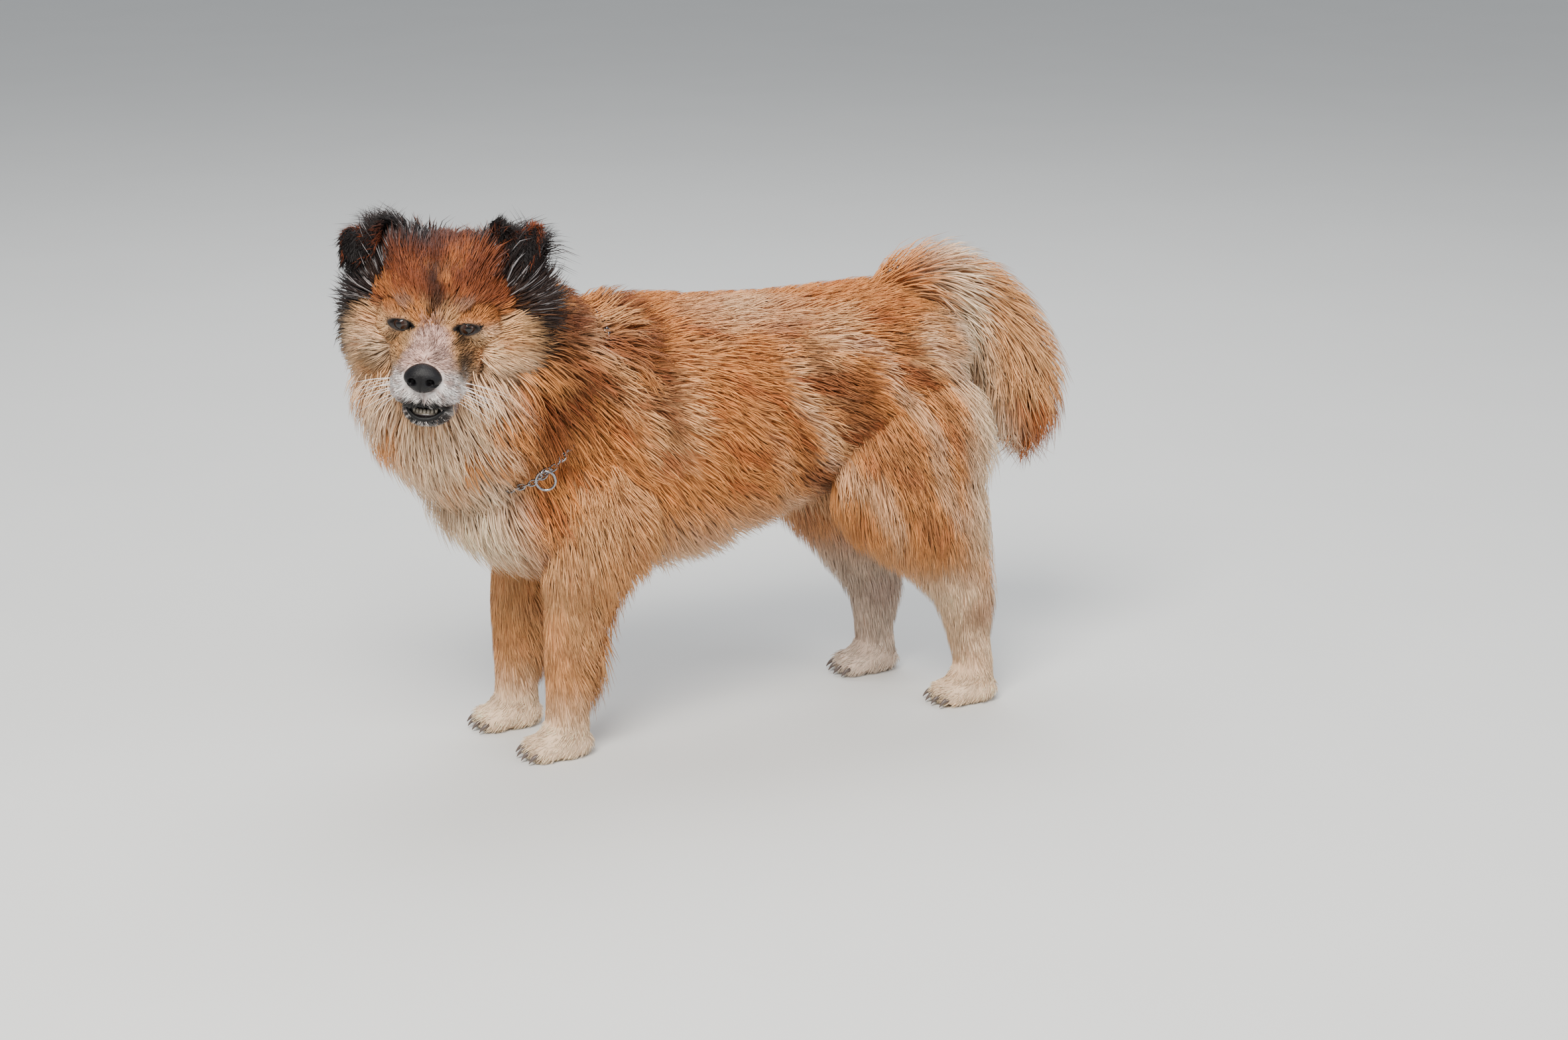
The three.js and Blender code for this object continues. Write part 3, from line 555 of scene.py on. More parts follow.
def head_colour(h):
    """The markings on the head, at the skin and at the tufts' tips."""
    x, y, z = h.T
    side = np.abs(y)
    mid = waves(h, 40, 21)
    fine = waves(h, 11, 22)
    tip = all_over(tint("tan"), h)
    tip = shade(tip, tint("gold"), ramp(mid, -0.3, 0.8) * 0.6)
    brow = ramp(z + 0.05 * side + 6 * mid + 4 * fine, -2, 26)
    tip = shade(tip, tint("fox"), brow * 0.96)
    tip = shade(tip, tint("dark_fox"), brow * 0.7 * ramp(z, 24, 60) * ramp(-mid, -0.5, 0.5))
    tip = shade(tip, tint("gold"), brow * 0.4 * ramp(mid + 0.6 * fine, 0.2, 1.0) * (1 - ramp(z, 40, 70)))
    streak = np.exp(-(((y + 1 + 3 * mid) / (6 + 0.12 * z)) ** 2)) * ramp(z, -6, 10) * (1 - ramp(z, 46, 66))
    tip = shade(tip, tint("brown"), streak * 0.95 * ramp(x, 0, 30))
    parting = np.exp(-(((y + 3 * fine) / 4) ** 2)) * ramp(z, 66, 84) * ramp(x, -10, 20)
    tip = shade(tip, tint("pink"), parting * 0.6)
    tip = shade(tip, tint("gold") * 0.8, 0.6 * blob(h, (70, 0, 14), (30, 60, 20)) * ramp(mid, -0.8, 0.6))
    cheek = (1 - ramp(z, -6, 12)) * ramp(side, 34, 50) * (1 - ramp(side, 82, 98))
    tip = shade(tip, tint("cream"), cheek * (0.3 + 0.35 * mid))
    tip = shade(tip, tint("rust"), cheek * 0.4 * ramp(waves(h * (0.5, 1, 1), 16, 27), 0.2, 0.9))
    outer = ramp(side, 76, 90) * (1 - ramp(z, -30, 0))
    tip = shade(tip, tint("rust"), outer * 0.6)
    edge = np.interp(z, [-60, -30, 0, 20, 45, 62, 73], [92, 80, 71, 62, 44, 25, 13]) - 6 * (y < 0)
    band = ramp(side - edge + 5 * fine, -3, 7) * (1 - ramp(x, 30, 50)) * ramp(z, -46, -22)
    tip = shade(tip, tint("charcoal"), band * 0.97)
    brindle = ramp(waves(h, 6, 23), 0.35, 0.75) * ramp(z, -10, 30)
    tip = shade(tip, tint("silver"), band * brindle * 0.42)
    reach = np.interp(z, [-60, -34, -10, 6], [36, 28, 17, 10])
    bridge = (1 - ramp(side - reach, -6, 6)) * ramp(x, 60, 76) * (1 - ramp(z, -4, 10))
    tip = shade(tip, tint("pink"), bridge * 0.85)
    tip = shade(tip, linear(150, 112, 100), bridge * 0.5 * ramp(waves(h, 13, 28), -0.1, 0.8))
    freckle = ramp(waves(h, 7, 24), 0.4, 0.7) * bridge
    tip = shade(tip, tint("brown"), freckle * 0.6)
    low = (1 - ramp(z, -46, -28)) * ramp(x, 82, 98)
    tip = shade(tip, tint("silver"), low * 0.4)
    tip = shade(tip, tint("white"), low * 0.85 * ramp(fine, -1.1, 0.3))
    corner = blob(h, (76, 52, -52), (26, 20, 22)) + blob(h, (76, -50, -46), (26, 16, 20))
    tip = shade(tip, tint("grey"), np.clip(corner, 0, 1) * 0.75)
    up = blob(h, (56, 66, -40), (30, 26, 10)) + blob(h, (62, -56, -30), (22, 10, 14))
    tip = shade(tip, tint("charcoal"), np.clip(up, 0, 1) * 0.55)
    for s, tears in ((1, 0.95), (-1, 0.5)):
        tip = shade(tip, tint("black"), tears * blob(h, (78, s * 27, -11), (32, 8, 14)))
        tip = shade(tip, tint("charcoal"), tears * blob(h, (88, s * 33, -33), (32, 8, 20)))
        tip = shade(tip, tint("charcoal"), 0.6 * blob(h, EYE * (1, s, 1) + (0, 2 * s, -9), (30, 15, 7)))
        tip = shade(tip, tint("grey"), 0.5 * blob(h, (66, s * 26, 20), (24, 12, 7)))
    tip = shade(tip, tint("black"), (1 - ramp(np.sqrt(eye_almond(h, 1.5)), 1.05, 1.45)) * ramp(x, 40, 50))
    lip = (1 - ramp(side, 19, 28)) * (1 - ramp(np.abs(z + 80), 14, 20)) * ramp(x, 82, 96)
    tip = shade(tip, tint("black"), lip * 0.97 * ramp(waves(h, 5, 25), -1.1, -0.2))
    line = np.exp(-(((z + 75 - 0.1 * side) / 4) ** 2)) * ramp(x, 66, 84)
    tip = shade(tip, tint("black"), line * 0.85)
    chin = ramp(x, 76, 92) * (1 - ramp(z, -96, -88))
    tip = shade(tip, tint("white"), chin * 0.8 * ramp(waves(h, 6, 26), -0.3, 0.4))
    tip = shade(tip, tint("cream"), (1 - ramp(z, -96, -72)) * (1 - ramp(x, 50, 74)) * 0.5)
    tip *= (1 + 0.14 * fine + 0.08 * mid)[:, None]
    skin = shade(tip * 0.8, tint("brown"), np.full(len(h), 0.1))
    return skin, tip


def mesh_points(mesh, key):
    """Vertex coordinates or normals of a mesh as rows."""
    rows = np.empty(len(mesh.vertices) * 3)
    mesh.vertices.foreach_get(key, rows)
    return rows.reshape(-1, 3)


def paint(mesh, colours):
    """Stores the coat's colour for each vertex."""
    layer = mesh.color_attributes.new(name="coat", type="FLOAT_COLOR", domain="POINT")
    rgba = np.concatenate([np.clip(colours, 0, 1), np.ones((len(colours), 1))], 1)
    layer.data.foreach_set("color", rgba.ravel())


def set_bake_map(mesh, per_vertex):
    """The bake map from a place for each vertex."""
    layer = mesh.uv_layers.new(name="OFBake")
    corner = np.empty(len(mesh.loops), int)
    mesh.loops.foreach_get("vertex_index", corner)
    layer.data.foreach_set("uv", per_vertex[corner].ravel())


def strands(name, root, normal, flow, size, skin, tip, place, segments, seed):
    """A coat piece: one closed, tapered tuft for each root.

    size holds rows of length, width, lift, sag and curl, in millimetres, skin and tip the colours at
    both ends, and place the tuft's spot on the bake map."""
    draw = np.random.default_rng(seed)
    count = len(root)
    length, width, lift, sag, curl = size.T
    wide = unit(np.cross(flow, normal))
    tone = draw.uniform(0.84, 1.16, count)
    bend = draw.normal(0, 0.1, count)
    twist = draw.uniform(-0.5, 0.5, count)
    steps = np.arange(segments) / segments
    per = segments * 3 + 1
    verts = np.empty((count, per, 3))
    tones = np.empty((count, per, 3))
    hair = np.empty((count, per, 3))
    patch = np.empty((count, per, 2))
    seedling = draw.uniform(0, 80, count)
    for k, s in enumerate([*steps, 1.0]):
        rise = lift * np.sin(min(1, 1.3 * s) * math.pi / 2) - 3 * (1 - s) ** 2
        run = length * s
        sway = length * bend * s * s + curl * np.sin(5 * s + seedling)
        line = root + normal * rise[:, None] + flow * run[:, None] + wide * sway[:, None]
        line[:, 2] -= sag * s * s
        full = width * (1 - s**1.7) * (0.7 + 0.9 * s if s < 0.34 else 1)
        mix = skin + (tip - skin) * ramp(np.array([s]), 0.0, 0.55)[0]
        mix = mix * (tone * (0.9 + 0.18 * s))[:, None]
        if s == 1.0:
            verts[:, -1] = line
            tones[:, -1] = mix
            hair[:, -1] = rows_of(0.0, 1.0, seedling)
            patch[:, -1] = place + (0, 0.0015)
            continue
        ups = normal * np.cos(twist)[:, None] + wide * np.sin(twist)[:, None]
        flat = np.cross(ups, flow)
        for j, (a, u) in enumerate(((-0.5, 0), (0.5, 0), (0, 0.34))):
            row = k * 3 + j
            verts[:, row] = line + flat * (full * a)[:, None] + ups * (full * u)[:, None]
            tones[:, row] = mix
            hair[:, row] = rows_of(a * 2, s, seedling)
            patch[:, row] = place + (0.0015 * a * 2, 0.003 * s - 0.0015)
    verts[..., 2] = np.maximum(verts[..., 2], COAT_CLEAR)
    faces = []
    for k in range(segments - 1):
        for j in range(3):
            a, b = k * 3 + j, k * 3 + (j + 1) % 3
            faces += [(a, b, b + 3), (a, b + 3, a + 3)]
    last = (segments - 1) * 3
    faces += [(last + j, last + (j + 1) % 3, segments * 3) for j in range(3)]
    faces.append((0, 2, 1))
    index = (np.array(faces)[None] + (np.arange(count) * per)[:, None, None]).reshape(-1, 3)
    mesh = bpy.data.meshes.new(name)
    mesh.vertices.add(count * per)
    mesh.vertices.foreach_set("co", to_row(verts.reshape(-1, 3)).ravel())
    mesh.loops.add(index.size)
    mesh.loops.foreach_set("vertex_index", index.ravel())
    mesh.polygons.add(len(index))
    mesh.polygons.foreach_set("loop_start", np.arange(len(index)) * 3)
    mesh.polygons.foreach_set("use_smooth", np.ones(len(index), bool))
    mesh.update(calc_edges=True)
    paint(mesh, tones.reshape(-1, 3))
    layer = mesh.attributes.new(name="hair", type="FLOAT_VECTOR", domain="POINT")
    layer.data.foreach_set("vector", hair.reshape(-1, 3).ravel())
    set_bake_map(mesh, patch.reshape(-1, 2))
    made = bpy.data.objects.new(name, mesh)
    bpy.context.scene.collection.objects.link(made)
    return made


def scatter(verts, faces, normals, weight, count, seed):
    """count roots over a skin, as points and normals, denser where weight is higher."""
    draw = np.random.default_rng(seed)
    quads = np.array([f if len(f) == 4 else (*f, f[2]) for f in faces])
    corner = verts[quads]
    area = np.linalg.norm(np.cross(corner[:, 2] - corner[:, 0], corner[:, 3] - corner[:, 1]), axis=1)
    share = area * weight[quads].mean(1)
    pick = draw.choice(len(quads), count, p=share / share.sum())
    u = draw.uniform(size=(count, 1))
    v = draw.uniform(size=(count, 1))

    def between(rows):
        a, b, c, d = (rows[quads[pick, i]] for i in range(4))
        return (a * (1 - u) + b * u) * (1 - v) + (d * (1 - u) + c * u) * v

    return between(verts), unit(between(normals))


def clumped(root, flow, size, seed, share, spacing):
    """Turns the tufts of each clump towards a shared tip, so that the coat breaks into locks."""
    draw = np.random.default_rng(seed)
    tips = root + flow * size[:, :1]
    picks = draw.choice(len(root), max(int(len(root) / spacing), 1), replace=False)
    tree = kdtree.KDTree(len(picks))
    for i, k in enumerate(picks):
        tree.insert(root[k], i)
    tree.balance()
    own = np.array([picks[tree.find(r)[1]] for r in root])
    goal = tips * (1 - share) + tips[own] * share
    return unit(goal - root)


def combed(flow, n, turn):
    """The flow laid flat on the skin, then turned on it."""
    flow = unit(flow - n * (flow * n).sum(1, keepdims=True))
    cross = np.cross(n, flow)
    return unit(flow * np.cos(turn)[:, None] + cross * np.sin(turn)[:, None])


def body_lie(p, n, limb, way):
    """Which way a tuft at each root on the body points."""
    x, y, z = p.T
    torso, neck, tail, fore, hind = limb_masks(limb)
    down = -0.2 - 0.75 * (1 - ramp(z, 360, 500)) * (1 - 0.4 * ramp(x, -60, 80))
    flow = rows_of(1.0, 0.1 * np.sign(y), down)
    flow[neck] = rows_of(0.84, 0.33, np.where(z > 500, -0.5, -1.25))[neck]
    chest = (torso | neck) & (x < -250) & (z < 380)
    flow[chest] = rows_of(0.45, 0.1 * np.sign(y), -1.2)[chest]
    flow[tail] = (way + np.array([0, 0, -0.35]))[tail]
    flow[fore] = rows_of(0.35 + 0.5 * np.clip(n[:, 0], 0, 1), 0.0, -0.85)[fore]
    flow[hind] = (0.34, 0, -0.92)
    flow[(fore | hind) & (z < 40)] = (-0.8, 0, -0.6)
    return combed(flow, n, 0.22 * waves(p, 70, 31) + 0.16 * waves(p, 26, 32))


def body_size(p, n, limb):
    """Length, width, lift, sag and curl of a tuft at each root on the body."""
    x, y, z = p.T
    torso, neck, tail, fore, hind = limb_masks(limb)
    size = np.tile((37.0, 2.3, 9.0, 0.0, 0.7), (len(p), 1))
    under = 1 - ramp(z, 260, 350)
    size[:, LENGTH] += 24 * under
    size[:, SAG] += 18 * under
    size[:, LIFT] += 6 * under
    size[neck] = (52, 2.6, 25, 7, 0.8)
    size[neck & (z > 500)] = (42, 2.4, 15, 0, 0.6)
    size[(torso | neck) & (x < -250) & (z < 400)] = (56, 2.6, 23, 4, 1.0)
    size[tail] = (64, 2.6, 22, 6, 0.8)
    back = np.clip(n[:, 0], 0, 1)
    feather = back * ramp(z, 70, 130)
    leg = ramp(z, 200, 280)
    size[fore, LENGTH] = (16 + 26 * leg + 42 * feather * (1 - leg))[fore]
    size[fore, WIDTH] = (1.7 + 0.6 * leg + 0.6 * feather)[fore]
    size[fore, LIFT] = (3 + 10 * leg + 13 * feather)[fore]
    thigh = ramp(z, 170, 270)
    size[hind, LENGTH] = (16 + 24 * thigh + 28 * back * ramp(z, 80, 200))[hind]
    size[hind, WIDTH] = (1.7 + 0.6 * thigh)[hind]
    size[hind, LIFT] = (3 + 9 * thigh + 12 * back * ramp(z, 80, 200))[hind]
    # Thicker on the right flank and haunch, to the reach of the frame's own coat.
    right = ramp(y, 60, 105) * ramp(z, 230, 300) * (1 - ramp(z, 430, 500)) * ramp(x, -190, -90)
    right *= torso | (limb == LIMB_NAMES.index("hind_right"))
    size[:, LIFT] += 18 * right
    size[:, LENGTH] += 10 * right
    # Shorter round the pull rings, so that they show.
    ring = blob(p, RING_SPOT + (-6, -4, 16), (52, 60, 50))
    size[:, LIFT] *= 1 - 0.8 * ring
    size[:, LENGTH] *= 1 - 0.6 * ring
    size[(fore | hind) & (z < 46)] = (11, 1.6, 2.2, 0, 0.2)
    return size


def head_lie(h, n):
    """Which way a tuft at each root on the head points, in the head's frame."""
    x, y, z = h.T
    out = np.sign(y)
    flow = rows_of(-1.0, 0.5 * y / 60, 0.5 * (z + 40) / 60)
    flow[:, 2] += 0.5 * ramp(z, 10, 50)
    cheek = ramp(np.abs(y), 40, 80) * (1 - ramp(z, 0, 40))
    flow += cheek[:, None] * rows_of(-0.3, 0.35 * out, -0.75)
    crown = ramp(z, 60, 85) * (1 - ramp(x, 20, 50))
    flow += crown[:, None] * rows_of(-0.4, 0.55 * out, 0.2)
    horn = ramp(z, 34, 54) * ramp(np.abs(y), 18, 36)
    flow += horn[:, None] * rows_of(0.5, 0.9 * out, 0.6)
    jaw = (1 - ramp(z, -80, -60)) * (1 - ramp(x, 70, 90))
    flow += jaw[:, None] * (-0.2, 0, -0.9)
    front = ramp(x, 96, 112)
    flow += front[:, None] * rows_of(0.0, 0.9 * out, -0.7)
    return combed(flow, n, 0.14 * waves(h, 30, 33))


def head_size(h):
    """Length, width, lift, sag and curl of a tuft at each root on the head."""
    x, y, z = h.T
    side = np.abs(y)
    face = ramp(x, 30, 75) * (1 - ramp(side, 50, 75))
    muzzle = ramp(x, 78, 98)
    size = np.zeros((len(h), 5))
    size[:, LENGTH] = 40 - 20 * face - 11 * muzzle
    size[:, WIDTH] = 2.1 - 0.4 * face - 0.3 * muzzle
    size[:, LIFT] = 14 - 8 * face - 3.4 * muzzle
    size[:, CURL] = 0.5
    ruff = ramp(side, 55, 80) * (1 - ramp(z, 10, 50)) * (1 - ramp(x, 10, 50))
    size[:, LENGTH] += 22 * ruff
    size[:, LIFT] += 12 * ruff
    jaw = (1 - ramp(z, -75, -50)) * (1 - ramp(x, 60, 86))
    size[:, LENGTH] += 16 * jaw
    size[:, LIFT] += 8 * jaw
    horn = ramp(z, 34, 54) * ramp(side, 18, 36)
    size[:, LIFT] += 4 * ramp(z, 62, 84) + 20 * horn
    size[:, LENGTH] += 14 * horn
    eye = (1 - ramp(np.sqrt(eye_almond(h, 1.5)), 1.0, 2.6)) * ramp(x, 36, 50)
    size[:, LENGTH] *= 1 - 0.76 * eye
    size[:, WIDTH] *= 1 - 0.3 * eye
    size[:, LIFT] *= 1 - 0.85 * eye
    return size


def nodes_of(name):
    """A new material with its node tree and its main shader."""
    material = bpy.data.materials.new(name)
    material.use_nodes = True
    tree = material.node_tree
    return material, tree, tree.nodes["Principled BSDF"]


def node(tree, kind, **values):
    """A shader node with its inputs set by name."""
    made = tree.nodes.new(kind)
    for key, value in values.items():
        made.inputs[key.replace("_", " ")].default_value = value
    return made


def attribute(tree, name):
    """A node that reads a stored attribute."""
    made = tree.nodes.new("ShaderNodeAttribute")
    made.attribute_name = name
    return made


def noise_over(tree, scale, detail, **values):
    """Noise over the object's own coordinates."""
    place = tree.nodes.new("ShaderNodeTexCoord")
    noise = node(tree, "ShaderNodeTexNoise", Scale=scale, Detail=detail, **values)
    tree.links.new(place.outputs["Object"], noise.inputs["Vector"])
    return noise


def toned(tree, shader, grain, colour=None, **span_values):
    """The painted colour, or the one given, lighter and darker along a grain, as the base colour."""
    span = node(tree, "ShaderNodeMapRange", **span_values)
    tree.links.new(grain.outputs["Fac"], span.inputs["Value"])
    tone = tree.nodes.new("ShaderNodeVectorMath")
    tone.operation = "SCALE"
    if colour is None:
        tree.links.new(attribute(tree, "coat").outputs["Color"], tone.inputs[0])
    else:
        tone.inputs[0].default_value = colour
    tree.links.new(span.outputs["Result"], tone.inputs["Scale"])
    tree.links.new(tone.outputs["Vector"], shader.inputs["Base Color"])


def bumped(tree, shader, grain, strength, depth):
    """Raises the surface along a grain."""
    bump = node(tree, "ShaderNodeBump", Strength=strength, Distance=depth)
    tree.links.new(grain.outputs["Fac"], bump.inputs["Height"])
    tree.links.new(bump.outputs["Normal"], shader.inputs["Normal"])


def fur_material(name):
    """Fur: the painted coat colour, streaked along each tuft."""
    material, tree, shader = nodes_of(name)
    stretch = tree.nodes.new("ShaderNodeVectorMath")
    stretch.operation = "MULTIPLY"
    stretch.inputs[1].default_value = (3.2, 1.3, 1.0)
    tree.links.new(attribute(tree, "hair").outputs["Vector"], stretch.inputs[0])
    streak = node(tree, "ShaderNodeTexNoise", Scale=1.0, Detail=2.0, Roughness=0.6)
    tree.links.new(stretch.outputs[0], streak.inputs["Vector"])
    toned(tree, shader, streak, From_Min=0.3, From_Max=0.7, To_Min=0.78, To_Max=1.22)
    bumped(tree, shader, streak, 0.5, 0.0012)
    shader.inputs["Roughness"].default_value = 0.52
    shader.inputs["Specular IOR Level"].default_value = 0.22
    return material


def painted_material(name, rough, grain, depth, specular, gloss, spread, metal):
    """A painted surface with fine procedural mottling and bump."""
    material, tree, shader = nodes_of(name)
    noise = noise_over(tree, grain, 5.0, Roughness=0.6)
    toned(tree, shader, noise, To_Min=1 - spread, To_Max=1 + spread)
    bumped(tree, shader, noise, 0.6, depth)
    shader.inputs["Roughness"].default_value = rough
    shader.inputs["Specular IOR Level"].default_value = specular
    shader.inputs["Coat Weight"].default_value = gloss
    shader.inputs["Metallic"].default_value = metal
    return material


def material_of(name):
    """The named material, made once."""
    if name in bpy.data.materials:
        return bpy.data.materials[name]
    if name in FINISHES:
        return painted_material(name, *FINISHES[name])
    return fur_material(name)


def finish_piece(made, material, nodes=()):
    """Gives a piece its material and the body it rides on, and hides the nodes it stands for."""
    made.data.materials.append(material_of(material))
    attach(made, "root")
    if nodes:
        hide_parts(*nodes)


def painted_piece(name, verts, faces, colours, material, nodes=()):
    """A finished piece from row-frame verts and a colour for each."""
    made = new_object(name, verts, faces)
    paint(made.data, colours)
    finish_piece(made, material, nodes)
    return made


def coat_piece(name, rows, pick, segments, seed):
    """A finished coat piece from the picked rows of what strands takes."""
    finish_piece(strands(name, *(row[pick] for row in rows), segments, seed), "chow_fur")


FLESH = [
    "head",
    "neck",
    "chest",
    "hindquarters",
    "tail",
    "thigh_left",
    "thigh_right",
    "leg_fore_left",
    "leg_fore_right",
    "leg_hind_left",
    "leg_hind_right",
]


def coat_paint(name, where, red, green, blue):
    """A colour setting, its default given as a display colour of 0 to 255."""
    return FloatVectorProperty(
        name=name,
        description=where,
        subtype="COLOR",
        min=0,
        max=1,
        default=tuple(linear(red, green, blue)),
    )


def length_setting(name, description, metres):
    """A length setting."""
    return FloatProperty(name=name, description=description, unit="LENGTH", default=metres)


class ChowSettings(bpy.types.PropertyGroup):
    """Sizes of the model that a user would change."""

    body_voxel: length_setting("Body skin grid", "Grid of the body's skin", 0.005)
    head_voxel: length_setting("Head skin grid", "Grid of the head's skin", 0.002)
    skin_inset: length_setting("Skin inset", "How far the skin lies below the body's lines", 0.003)
    body_tufts: IntProperty(name="Body tufts", description="Number of tufts on the body", default=68000)
    head_tufts: IntProperty(name="Head tufts", description="Number of tufts on the head", default=28000)
    ear_tufts: IntProperty(name="Ear tufts", description="Number of tufts on each ear", default=2600)
    whiskers: IntProperty(name="Whiskers", description="Whiskers on each side", default=14)
    link_pitch: length_setting("Link pitch", "Distance between chain links", 0.0076)
    wire: length_setting("Link wire", "Radius of the chain's wire", 0.00115)
    floor: FloatVectorProperty(
        name="Floor colour",
        description="Colour of the floor",
        subtype="COLOR",
        default=(0.62, 0.62, 0.6),
    )


class CoatColours(bpy.types.PropertyGroup):
    """Colours of the coat and the bare parts."""

    rust: coat_paint("Rust", "Red parts of the back and sides", 164, 86, 40)
    # Deep rust also carries painted shade: in the fold of the neck's coat and in the swirls over the flank
    # and thigh.
    deep_rust: coat_paint("Deep rust", "Dark folds of the coat", 118, 58, 28)
    fox: coat_paint("Fox", "Forehead", 124, 58, 27)
    dark_fox: coat_paint("Dark fox", "Darker hair over the forehead", 80, 36, 20)
    gold: coat_paint("Gold", "Main colour of the coat", 222, 146, 80)
    tan: coat_paint("Tan", "Lighter parts of the coat", 236, 182, 128)
    cream: coat_paint("Cream", "Chest, cheeks, breeches and paws", 248, 222, 188)
    white: coat_paint("White", "Muzzle and whiskers", 244, 238, 234)
    silver: coat_paint("Silver", "Grey-tipped hair", 190, 184, 184)
    grey: coat_paint("Grey", "Corners of the mouth and the inner brows", 112, 104, 102)
    charcoal: coat_paint("Charcoal", "Ears and sides of the head", 26, 20, 19)
    brown: coat_paint("Brown", "Streak down the forehead", 62, 34, 22)
    pink: coat_paint("Pink", "Bridge of the nose", 216, 182, 172)
    black: coat_paint("Black", "Lips and rims of the eyes", 8, 7, 7)


def chow():
    """The model's settings."""
    return bpy.context.scene.chow


def mm(setting):
    """A length setting in millimetres."""
    return 1000 * getattr(chow(), setting)


def tint(name):
    """One of the coat's colours as linear light."""
    return np.array(getattr(bpy.context.scene.chow_coat, name))


# Verts, faces and normals of the body's and the head's skin, which the coats grow from.
SKINS = {}


class CHOW_OT_skin(bpy.types.Operator):
    """Builds the one skin of body and head"""

    bl_idname = "chow.skin"
    bl_label = "Skin"

    def execute(self, context):
        body = body_shape()
        head = head_shape()
        count = len(body[0])
        verts, faces = merged([body, head])
        made = new_object("skin", to_row(verts), faces)
        normals = mesh_points(made.data, "normal")
        limb, place, turn, _, _ = nearest_limb(body[0])
        h = to_head(head[0])
        tones = np.concatenate([body_colour(body[0], limb, place)[0], head_colour(h)[0]])
        paint(made.data, tones)
        set_bake_map(made.data, np.concatenate([body_unwrap(limb, place, turn), head_unwrap(h)]))
        SKINS["body"] = (*body, normals[:count])
        SKINS["head"] = (*head, normals[count:])
        finish_piece(made, "chow_skin", FLESH)
        return {"FINISHED"}


def plant_body():
    """The body's coat, parted into pieces by limb."""
    verts, faces, normals = SKINS["body"]
    z = verts[:, 2]
    _, _, _, fore, hind = limb_masks(nearest_limb(verts)[0])
    leg = fore | hind
    # More tufts on the legs, and none inside the head or under the paws.
    weight = np.where(leg, 1.5, 1.0) * np.where(leg & (z < 170), 1.5, 1.0)
    h = to_head(verts)
    within = ((h / (76, 74, 66)) ** 2).sum(1) < 1
    weight[within] = 0
    weight[z < 2] = 0
    root, n = scatter(verts, faces, normals, weight, chow().body_tufts, 41)
    limb, place, turn, way, _ = nearest_limb(root)
    flow = body_lie(root, n, limb, way)
    size = body_size(root, n, limb)
    draw = np.random.default_rng(42)
    for column, least in ((LENGTH, 0.72), (WIDTH, 0.7), (LIFT, 0.55)):
        size[:, column] *= draw.uniform(least, 1.2, len(root))
    flow = clumped(root, flow, size, 43, 0.24, 24)
    flow = unit(flow - n * (flow * n).sum(1, keepdims=True) * 0.8)
    rows = (root, n, flow, size, *body_colour(root, limb, place), body_unwrap(limb, place, turn))
    torso, neck, tail, _, _ = limb_masks(limb)
    rear = root[:, 0] > -60
    left = root[:, 1] < 0
    groups = {
        "coat_back": torso & rear & ~left,
        "coat_flank": torso & rear & left,
        "coat_chest_left": torso & ~rear & left,
        "coat_chest_right": torso & ~rear & ~left,
        "coat_neck": neck,
        "coat_tail": tail,
    }
    for name in ("fore_left", "fore_right", "hind_left", "hind_right"):
        groups["coat_" + name] = limb == LIMB_NAMES.index(name)
    for seed, (name, pick) in enumerate(groups.items()):
        coat_piece(name, rows, pick, 3, 50 + seed)


class CHOW_OT_coat(bpy.types.Operator):
    """Plants the body's coat"""

    bl_idname = "chow.coat"
    bl_label = "Body coat"

    def execute(self, context):
        plant_body()
        return {"FINISHED"}


def plant_head():
    """The head's coat: short on the face, long at the cheeks and crown."""
    verts, faces, normals = SKINS["head"]
    h = to_head(verts)
    normals = normals @ HEAD_AXES
    x = h[:, 0]
    # More tufts towards the nose, and none on the nose, in the mouth, over the eyes or in the body.
    weight = 1 + 1.6 * ramp(x, 10, 70) + 0.8 * ramp(x, 80, 100)
    weight *= 1 - ramp(((h - NOSE) / (16, 21, 16)) ** 2 @ np.ones(3), 1.3, 0.9)
    gape = (((h - (120, 0, -80)) / (34, 22, 9)) ** 2).sum(1)
    weight[gape < 1] = 0
    weight[(eye_almond(h, 1.5) < 1) & (x > 40)] = 0
    weight[nearest_limb(from_head(h))[4] < 0.93] = 0
    root, n = scatter(h, faces, normals, weight, chow().head_tufts, 61)
    flow = head_lie(root, n)
    size = head_size(root)
    draw = np.random.default_rng(62)
    size[:, :3] *= draw.uniform(0.7, 1.25, (len(root), 3))
    flow = clumped(root, flow, size, 63, 0.35, 22)
    place = root[:, 0]
    turned = (from_head(root), n @ HEAD_AXES.T, flow @ HEAD_AXES.T)
    rows = (*turned, size, *head_colour(root), head_unwrap(root))
    groups = (
        ("coat_muzzle", place > 76, 2),
        ("coat_face", (place > 30) & (place <= 76), 2),
        ("coat_cheeks", place <= 30, 3),
    )
    for seed, (name, pick, segments) in enumerate(groups):
        coat_piece(name, rows, pick, segments, 71 + seed)


class CHOW_OT_head_coat(bpy.types.Operator):
    """Plants the head's coat"""

    bl_idname = "chow.head_coat"
    bl_label = "Head coat"

    def execute(self, context):
        plant_head()
        return {"FINISHED"}


